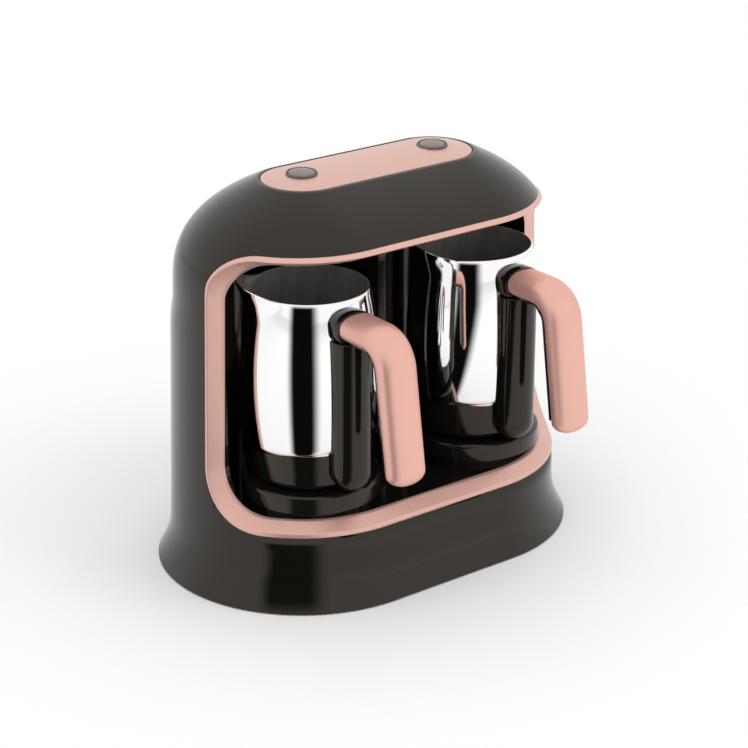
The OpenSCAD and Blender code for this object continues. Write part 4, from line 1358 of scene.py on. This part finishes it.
@dataclass
class Pot:
    """One steel pot with its cup, handle and inlay.

    In millimetres and degrees. foot_roll and cup_rim hold inset and rise or drop, cup_foot the radius
    and the height over the bottom. collar holds its half width and half height, collar_rings the place
    along the handle and the size of each ring, inlay_outline the place across the grip and out of its
    flat. pod_steps are for the round end, the straight and the edge, grip_steps for the level, curved,
    straight and rounded stretch.
    """

    side: Side
    sizes: Sizes
    around: int = 144
    cup_around: int = 96
    pod_around: int = 72
    grip_around: int = 48
    collar_around: int = 56
    lip: float = 0.6
    lip_run: float = 7.0
    lip_fold: float = 2.0
    lip_drop: float = 0.35
    fold_depth: float = 24.0
    spout_sink: float = 1.5
    inner_fold: float = 0.3
    foot_rise: float = 0.15
    foot_roll: tuple[Pair, ...] = ((1.1, 0.1), (0.3, 0.05))
    collar: Pair = (12.6, 8.4)
    collar_square: float = 0.38
    collar_rings: tuple[Pair, ...] = (
        (-9.6, 0.0), (-9.6, 0.62), (-9.3, 0.95), (-8.6, 1.0), (-4.0, 1.0), (-1.6, 1.0),
        (-0.5, 0.985), (0.0, 0.95), (0.15, 0.9), (0.15, 0.0),
    )
    inlay_outline: tuple[Pair, ...] = (
        (-7.5, 0.15), (-7.5, 1.5), (-7.35, 1.9), (-6.95, 2.15), (-6.4, 2.2), (6.4, 2.2),
        (6.95, 2.15), (7.35, 1.9), (7.5, 1.5), (7.5, 0.15),
    )
    collar_sunk: float = -9.6
    collar_held: float = -9.3
    collar_lift: float = 0.5
    collar_gap: float = 0.15
    inlay_proud: float = 1.3
    inlay_root: float = 1.0
    inlay_turn: float = 30.0
    inlay_widening: float = 0.1
    grip_square: float = 0.84
    grip_root: float = 11.0
    grip_flat: float = 1.5
    grip_turn: float = 8.5
    grip_steps: tuple[int, ...] = (5, 18, 14, 12)
    grip_end_turn: float = 7.3
    lip_turns: tuple[float, ...] = (30.0, 60.0, 90.0, 120.0, 150.0)
    bottom_turns: tuple[float, ...] = (20.0, 40.0, 60.0, 80.0, 90.0)
    bottom_bend: float = 7.0
    bottom_drop: float = 1.5
    bottom_flat: float = 14.0
    outside_steps: int = 34
    inside_steps: int = 26
    cup_steps: int = 8
    cup_bend: float = 5.0
    cup_spread: float = 1.6
    cup_foot: tuple[Pair, ...] = ((9.0, 3.0), (11.0, 3.0), (11.0, 0.3), (11.3, 0.0))
    cup_rim: tuple[Pair, ...] = ((0.25, 0.05), (0.9, -0.05), (3.2, 0.1), (3.6, 6.0))
    joint_gap: float = 0.1
    pod_ends: Pair = (1.0, 1.0)
    pod_start: float = -84.0
    pod_steps: tuple[int, ...] = (14, 10, 6)
    pod_edge: float = 0.8
    pod_gap: float = 0.15
    pod_joint: float = 6.0
    steel_gap: float = 0.12

    def piece(
        self,
        part: str,
        slot: str,
        node: str,
        shading: Shading = Shading.BY_ANGLE,
        finish: Finish | None = None,
    ) -> Piece:
        """A piece of this pot, named for its side.

        Args:
            part: Name of the piece, without the side.
            slot: Its material slot.
            node: The solid that it stands for, without the side.
            shading: How its faces are shaded.
            finish: A finish of its own, other than that of the slot.

        Returns:
            The piece, not made yet.
        """
        word, s = self.side.word, self.sizes
        origin = (self.side.value * s.pot_x, -s.pot_forward, 0.0)
        return Piece(f"{word}_{part}", f"{word}_pot", slot, (f"{word}_{node}",), shading, origin, finish)

    def off_spout(self, angle: float) -> float:
        """Angle in radians between a direction and the spout's middle."""
        return math.radians(angle - 180.0 + self.sizes.spout_turn)

    def spout_at(self, angle: float, height: float) -> float:
        """Reach of the spout's cone in a direction, or 0 where it is missed.

        Args:
            angle: The direction, in degrees.
            height: Height of the point.

        Returns:
            The distance from the pot's axis.
        """
        s, off = self.sizes, self.off_spout(angle)
        axis = s.spout_reach - s.spout_radius
        foot = s.belly_at(s.mouth_height - s.spout_depth) - axis - self.spout_sink
        share = (height - s.mouth_height + s.spout_depth) / (s.spout_depth + s.spout_rise)
        ring = foot + (s.spout_radius - foot) * share
        inside = ring * ring - (axis * math.sin(off)) ** 2
        if math.cos(off) <= 0.0 or ring <= 0.0 or inside <= 0.0:
            return 0.0
        return axis * math.cos(off) + math.sqrt(inside)

    def wall_at(self, angle: float, height: float, fold: float = 2.4) -> float:
        """Reach of the steel in a direction at a height, with the spout folded out of it."""
        s = self.sizes
        belly = s.belly_at(min(height, s.mouth_height + 2.0))
        if height <= s.mouth_height - self.fold_depth:
            return belly
        return soft_max(belly, self.spout_at(angle, height), fold)

    def lip_at(self, angle: float) -> float:
        """Height of the lip in a direction."""
        s, off = self.sizes, self.off_spout(angle)
        slope = s.spout_rise / (s.spout_reach - s.mouth_radius + self.lip_run)
        reach = self.wall_at(angle, s.mouth_height + 3.0) * math.cos(off)
        rise = soft_max(0.0, slope * (reach - s.mouth_radius + self.lip_run), self.lip_fold)
        return s.mouth_height + rise - self.lip_drop

    def ring(self, reach: Callable[[float], float], height: Callable[[float], float]) -> list[Point]:
        """One ring of points round the pot's axis.

        Args:
            reach: Distance from the axis in a direction.
            height: Height in a direction.

        Returns:
            The points.
        """
        line = []
        for j in range(self.around):
            angle = 360.0 * j / self.around
            line.append((*polar(reach(angle), angle), height(angle)))
        return line

    def foot_at(self, angle: float) -> float:
        """Height of the sloping lower edge of the steel in a direction."""
        s = self.sizes
        slope = math.tan(math.radians(s.cup_slope))
        back = s.belly_at(s.cup_joint) * math.sin(math.radians(angle))
        return s.cup_joint + self.foot_rise - back * slope

    def steel(self) -> None:
        """The steel body: outside, rolled lip, inside and bottom."""
        s = self.sizes
        ring, foot, wall, lip, rolled = self.ring, self.foot_at, self.wall_at, self.lip_at, self.lip
        rows = []
        for inset, rise in self.foot_roll:
            rows.append(ring(lambda a: s.belly_at(foot(a)) - inset, lambda a: foot(a) + rise))

        def outside(angle: float, share: float) -> float:
            """Height on the outside, from the lower edge to the lip."""
            return foot(angle) + 0.35 + (lip(angle) - foot(angle) - 0.95) * share

        for i in range(self.outside_steps + 1):
            share = i / self.outside_steps
            rows.append(ring(lambda a: wall(a, outside(a, share)), lambda a: outside(a, share)))
        for turn in self.lip_turns:
            out, up = (part - rolled for part in polar(rolled, turn))
            rows.append(ring(lambda a: wall(a, lip(a)) + out, lambda a: lip(a) + up))
        bottom = s.cup_joint - self.bottom_drop
        low, bend = bottom + self.bottom_bend, self.bottom_bend

        def inside(angle: float, share: float) -> float:
            """Height on the inside, from the bend at the bottom to the lip."""
            return low + (lip(angle) - low - rolled) * share

        def inner_wall(angle: float, height: float) -> float:
            """Reach of the inside."""
            return wall(angle, height, self.inner_fold) - s.steel_wall

        for i in range(self.inside_steps + 1):
            share = 1.0 - i / self.inside_steps
            rows.append(ring(lambda a: inner_wall(a, inside(a, share)), lambda a: inside(a, share)))
        flat = s.belly_at(low) - s.steel_wall - bend
        for turn in self.bottom_turns:
            out, up = polar(bend, turn)
            rows.append(ring(lambda a: flat + out, lambda a: low - up))
        rows.append(ring(lambda a: self.bottom_flat, lambda a: bottom))
        points = [spot for line in rows for spot in line]
        faces = loop_faces(len(rows), self.around)
        faces.append(cap(len(rows) - 1, self.around))
        self.piece("pot_body", "pot_steel", "pot_steel", Shading.SMOOTH).make(points, faces)

    def turned(self, profile: Sequence[Pair], count: int) -> tuple[list[Point], list[list[int]]]:
        """A closed profile turned round the pot's axis; its ends may lie on the axis.

        Args:
            profile: Distance from the axis and height of each point.
            count: Points to the turn.

        Returns:
            The points and the faces.
        """
        points = [(out * x, out * y, up) for out, up in profile for x, y in spokes(count)]
        return points, loop_faces(len(profile), count)

    def cup(self) -> None:
        """The black cup under the steel, cut off along the sloping joint."""
        s = self.sizes
        count, steps, bend, spread = self.cup_around, self.cup_steps, self.cup_bend, self.cup_spread
        slope = math.tan(math.radians(s.cup_slope))
        wide, low = s.cup_radius + spread, s.pot_bottom + bend
        profile = [(out, s.pot_bottom + up) for out, up in self.cup_foot]
        profile += arc((s.cup_radius - bend, low), bend, -90.0, 0.0, steps)
        lower = len(profile)
        for i in range(1, steps + 1):
            share = i / steps
            profile.append((s.cup_radius + spread * share, low + (s.cup_joint - low) * share))
        points, _ = self.turned(profile, count)
        last = len(profile) - 1
        moved: list[Point] = []
        for index, (x, y, z) in enumerate(points):
            row = index // count
            if row >= lower:
                z -= y * slope * ((row - lower + 1) / steps) ** 2
            moved.append((x, y, z - self.joint_gap if row == last else z))
        for inset, drop in self.cup_rim:
            out = wide - inset
            for x, y in spokes(count):
                moved.append((out * x, out * y, s.cup_joint - self.joint_gap - out * y * slope - drop))
        rows = len(profile) + len(self.cup_rim)
        faces = loop_faces(rows, count)
        faces += [cap(rows - 1, count), cap(0, count)]
        self.piece("cup_shell", "handle_gloss", "pot_cup").make(moved, faces)

    def pod(self) -> None:
        """The upright pod between cup and grip, with round ends."""
        s = self.sizes
        radius, edge = s.pod_radius, self.pod_edge
        low = s.pot_bottom + self.pod_ends[0]
        high = s.grip_height - s.grip_thick / 2.0 - self.pod_ends[1]
        round_steps, steps, edge_steps = self.pod_steps
        profile = [(0.0, low), *arc((0.0, low + radius), radius, self.pod_start, 0.0, round_steps)]
        for i in range(1, steps + 1):
            profile.append((radius, low + radius + (high - edge - low - radius) * i / steps))
        profile += [*arc((radius - edge, high - edge), edge, 10.0, 90.0, edge_steps), (0.0, high)]
        points, faces = self.turned(profile, self.pod_around)
        moved = []
        for x, y, z in points:
            y -= s.pod_offset
            near = math.hypot(x, y)
            cup_wall = s.cup_radius + self.cup_spread + self.pod_gap
            wall = s.belly_at(z) + self.steel_gap if z > s.cup_joint else cup_wall
            wall = max(wall, cup_wall) if z < s.cup_joint + self.pod_joint else wall
            if near < wall:
                push = wall / max(near, 1.0)
                x, y = x * push, y * push
            moved.append((x, y, z))
        self.piece("pod_shell", "handle_gloss", "handle_pod").make(moved, faces)

    def core(self) -> None:
        """The black collar on the steel and the inlay along the inner face of the grip."""
        s, count, rings = self.sizes, self.collar_around, self.collar_rings
        points: list[Point] = []
        root = s.mouth_radius + self.grip_root
        for out, size in rings:
            for cosine, sine in spokes(count):
                square = self.collar_square if sine < 0.0 else 1.0
                x = self.collar[0] * squared(cosine, square) * size
                up = self.collar[1] * squared(sine, square) * size
                y = -(root + out)
                if out <= self.collar_held:
                    hold = s.belly_at(s.grip_height + up) + self.collar_gap
                    lift = 0.0 if out == self.collar_sunk else self.collar_lift
                    y = -math.sqrt(max(hold * hold - x * x, 1.0)) - lift
                points.append((x, y, s.grip_height + up))
        faces = loop_faces(len(rings), count)
        path = [station for station in self.grip_path() if station[3] == 1.0]
        outline = self.inlay_outline
        flat = s.grip_thick / 2.0 - self.grip_flat
        start = len(points)
        for reach, height, heading, _ in path:
            rad = math.radians(heading)
            proud = min(1.0, heading / self.inlay_turn)
            for wide, out in outline:
                thick = flat + out + (self.inlay_proud * proud if out > self.inlay_root else 0.0)
                across = wide * (1.0 + self.inlay_widening * proud)
                points.append((across, -reach + thick * math.sin(rad), height - thick * math.cos(rad)))
        strip = loop_faces(len(path), len(outline))
        strip += [cap(0, len(outline)), cap(len(path) - 1, len(outline))]
        faces += [[v + start for v in face] for face in strip]
        self.piece("handle_inlay", "handle_gloss", "handle_core").make(points, faces)

    def grip_path(self) -> list[tuple[float, float, float, float]]:
        """Stations of the grip axis: reach, height, heading in degrees and size."""
        s = self.sizes
        root, bend = s.mouth_radius + self.grip_root, s.grip_bend
        turn = s.grip_reach - bend - self.grip_turn
        level, curved, straight, rounded = self.grip_steps
        lean = math.radians(s.grip_lean)
        arc_end = (turn + bend * math.cos(lean), s.grip_height - bend + bend * math.sin(lean))
        path = [(root + (turn - root) * i / level, s.grip_height, 0.0, 1.0) for i in range(level + 1)]
        for i in range(1, curved + 1):
            angle = (90.0 - s.grip_lean) * i / curved
            rad = math.radians(angle)
            height = s.grip_height - bend * (1.0 - math.cos(rad))
            path.append((turn + bend * math.sin(rad), height, angle, 1.0))
        for i in range(1, straight + 1):
            share = i / straight
            path.append((
                arc_end[0] + (s.grip_reach - arc_end[0]) * share,
                arc_end[1] + (s.grip_end - arc_end[1]) * share, 90.0 - s.grip_lean, 1.0,
            ))
        for i in range(1, rounded + 1):
            rad = math.radians(i * self.grip_end_turn)
            far = s.grip_thick / 2.0 * math.sin(rad)
            path.append((
                s.grip_reach + far * math.sin(lean), s.grip_end - far * math.cos(lean),
                90.0 - s.grip_lean, math.cos(rad),
            ))
        return path

    def grip(self) -> None:
        """The metal grip, swept along its axis with a round end."""
        s = self.sizes
        count = self.grip_around
        flat = s.grip_thick / 2.0 - self.grip_flat
        path = self.grip_path()
        points: list[Point] = []
        for reach, height, heading, size in path:
            rad = math.radians(heading)
            for cosine, sine in spokes(count, 0.5):
                wide = s.grip_width / 2.0 * squared(cosine, self.grip_square) * size
                thick = max(-flat, s.grip_thick / 2.0 * squared(sine, self.grip_square)) * size
                points.append((wide, -reach - thick * math.sin(rad), height + thick * math.cos(rad)))
        faces = loop_faces(len(path), count)
        faces += [cap(0, count), cap(len(path) - 1, count)]
        self.piece("grip", "rose_metal", "handle_grip", finish=ROSE_GRIP).make(points, faces)

    def build(self) -> None:
        """Builds the pieces of this pot."""
        self.steel()
        self.cup()
        self.pod()
        self.grip()
        self.core()


@dataclass
class Studio:
    """Floor, black cards, lamps, world and camera, in metres and degrees."""

    place: Point = (-0.7437, -0.9932, 0.6119)
    yaw: float = 37.09
    down: float = 22.35
    lens: float = 107.3
    ambient: float = 0.84
    floor_half: float = 6.0
    card_reach: Pair = (0.05, 1.3)
    card_height: float = 0.8
    card_lift: float = 0.0012
    lamps: tuple[tuple[str, Point, Point, Pair, float], ...] = (
        ("box_left", (-1.5, -0.6, 1.2), (0.0, 0.0, 0.1), (1.2, 1.6), 4.0),
        ("box_right", (1.1, -1.5, 1.1), (0.0, 0.0, 0.1), (1.2, 1.4), 9.0),
        ("box_top", (0.0, 0.3, 1.9), (0.0, 0.0, 0.0), (1.6, 1.6), 4.0),
    )

    def camera(self) -> None:
        """Sets up the camera."""
        data = bpy.data.cameras.new("camera")
        data.lens = self.lens
        data.sensor_width = SENSOR_WIDTH
        data.clip_end = 20.0
        camera = bpy.data.objects.new("camera", data)
        camera.location = self.place
        camera.rotation_euler = (math.radians(90.0 - self.down), 0.0, math.radians(-self.yaw))
        bpy.context.collection.objects.link(camera)
        bpy.context.scene.camera = camera

    def lamp(self, name: str, place: Point, aim: Point, size: Pair, power: float) -> None:
        """Adds one soft box that gloss doesn't show.

        Args:
            name: Name of the lamp.
            place: Where it stands.
            aim: The point it faces.
            size: Width and height.
            power: Power in watts.
        """
        data = bpy.data.lights.new(name, "AREA")
        data.shape = "RECTANGLE"
        data.size, data.size_y = size
        data.energy = power
        lamp = bpy.data.objects.new(name, data)
        lamp.location = place
        lamp.visible_glossy = False
        lamp.rotation_euler = (Vector(aim) - Vector(place)).to_track_quat("-Z", "Y").to_euler()
        bpy.context.collection.objects.link(lamp)

    def world(self) -> None:
        """White for what looks at the background, an even level for what is lit by it."""
        world = bpy.data.worlds.new("world")
        world.use_nodes = True
        bpy.context.scene.world = world
        bench = Bench(world.node_tree)
        path = bench.node("ShaderNodeLightPath")
        seen = Signal(bench, path.outputs["Is Camera Ray"]) + Signal(bench, path.outputs["Is Glossy Ray"])
        seen = seen + Signal(bench, path.outputs["Is Transmission Ray"])
        seen = seen.math("MINIMUM", seen, 1.0)
        level = self.ambient + seen * (1.0 - self.ambient)
        back = bench.node("ShaderNodeBackground", None, {"Color": (1.0, 1.0, 1.0), "Strength": level})
        bench.node("ShaderNodeOutputWorld", None, {"Surface": back.outputs[0]})

    def sheet(self, name: str, corners: Sequence[Point], finish: Finish) -> bpy.types.Object:
        """Adds one flat sheet of the studio.

        Args:
            name: Name of the sheet.
            corners: Its four corners, in metres.
            finish: Its finish.

        Returns:
            The sheet.
        """
        made = new_object(name, corners, [(0, 1, 2, 3)], closed=False)
        made.data.materials.append(finish.material())
        return made

    def floor(self) -> None:
        """A wide pale floor that keeps the soft shadow."""
        half = self.floor_half
        corners = [(-half, -half, 0.0), (half, -half, 0.0), (half, half, 0.0), (-half, half, 0.0)]
        self.sheet("floor", corners, FLOOR_PAPER)

    def cards(self) -> None:
        """Lays a black card at the front left and stands another up behind it; only gloss shows them."""
        (x, y), lift = CARD_BLACK.apex, self.card_lift
        turns = [math.radians(turn) for turn in (CARD_BLACK.right[0] - 1.0, CARD_BLACK.left[1] + 1.0)]
        near, far = (
            [(x - reach * math.sin(turn), y - reach * math.cos(turn)) for turn in turns]
            for reach in self.card_reach
        )
        lying = [(*near[0], lift), (*far[0], lift), (*far[1], lift), (*near[1], lift)]
        high = self.card_height
        standing = [(*far[0], 0.0), (*far[1], 0.0), (*far[1], high), (*far[0], high)]
        for name, corners in (("card_lying", lying), ("card_standing", standing)):
            card = self.sheet(name, corners, CARD_BLACK)
            for ray in ("camera", "diffuse", "shadow", "transmission"):
                setattr(card, f"visible_{ray}", False)

    def build(self) -> None:
        """Builds the studio."""
        bpy.context.scene.view_settings.view_transform = "Standard"
        self.camera()
        self.world()
        self.floor()
        self.cards()
        for row in self.lamps:
            self.lamp(*row)


def main() -> None:
    """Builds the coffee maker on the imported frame."""
    logging.basicConfig(level=logging.INFO, format="%(name)s: %(message)s")
    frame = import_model()
    Studio().build()
    dress_nodes(frame["nodes"], frame["record"])
    Housing(SIZES, SKIN).build()
    for side in Side:
        Pot(side, SIZES).build()


if __name__ == "__main__":
    main()
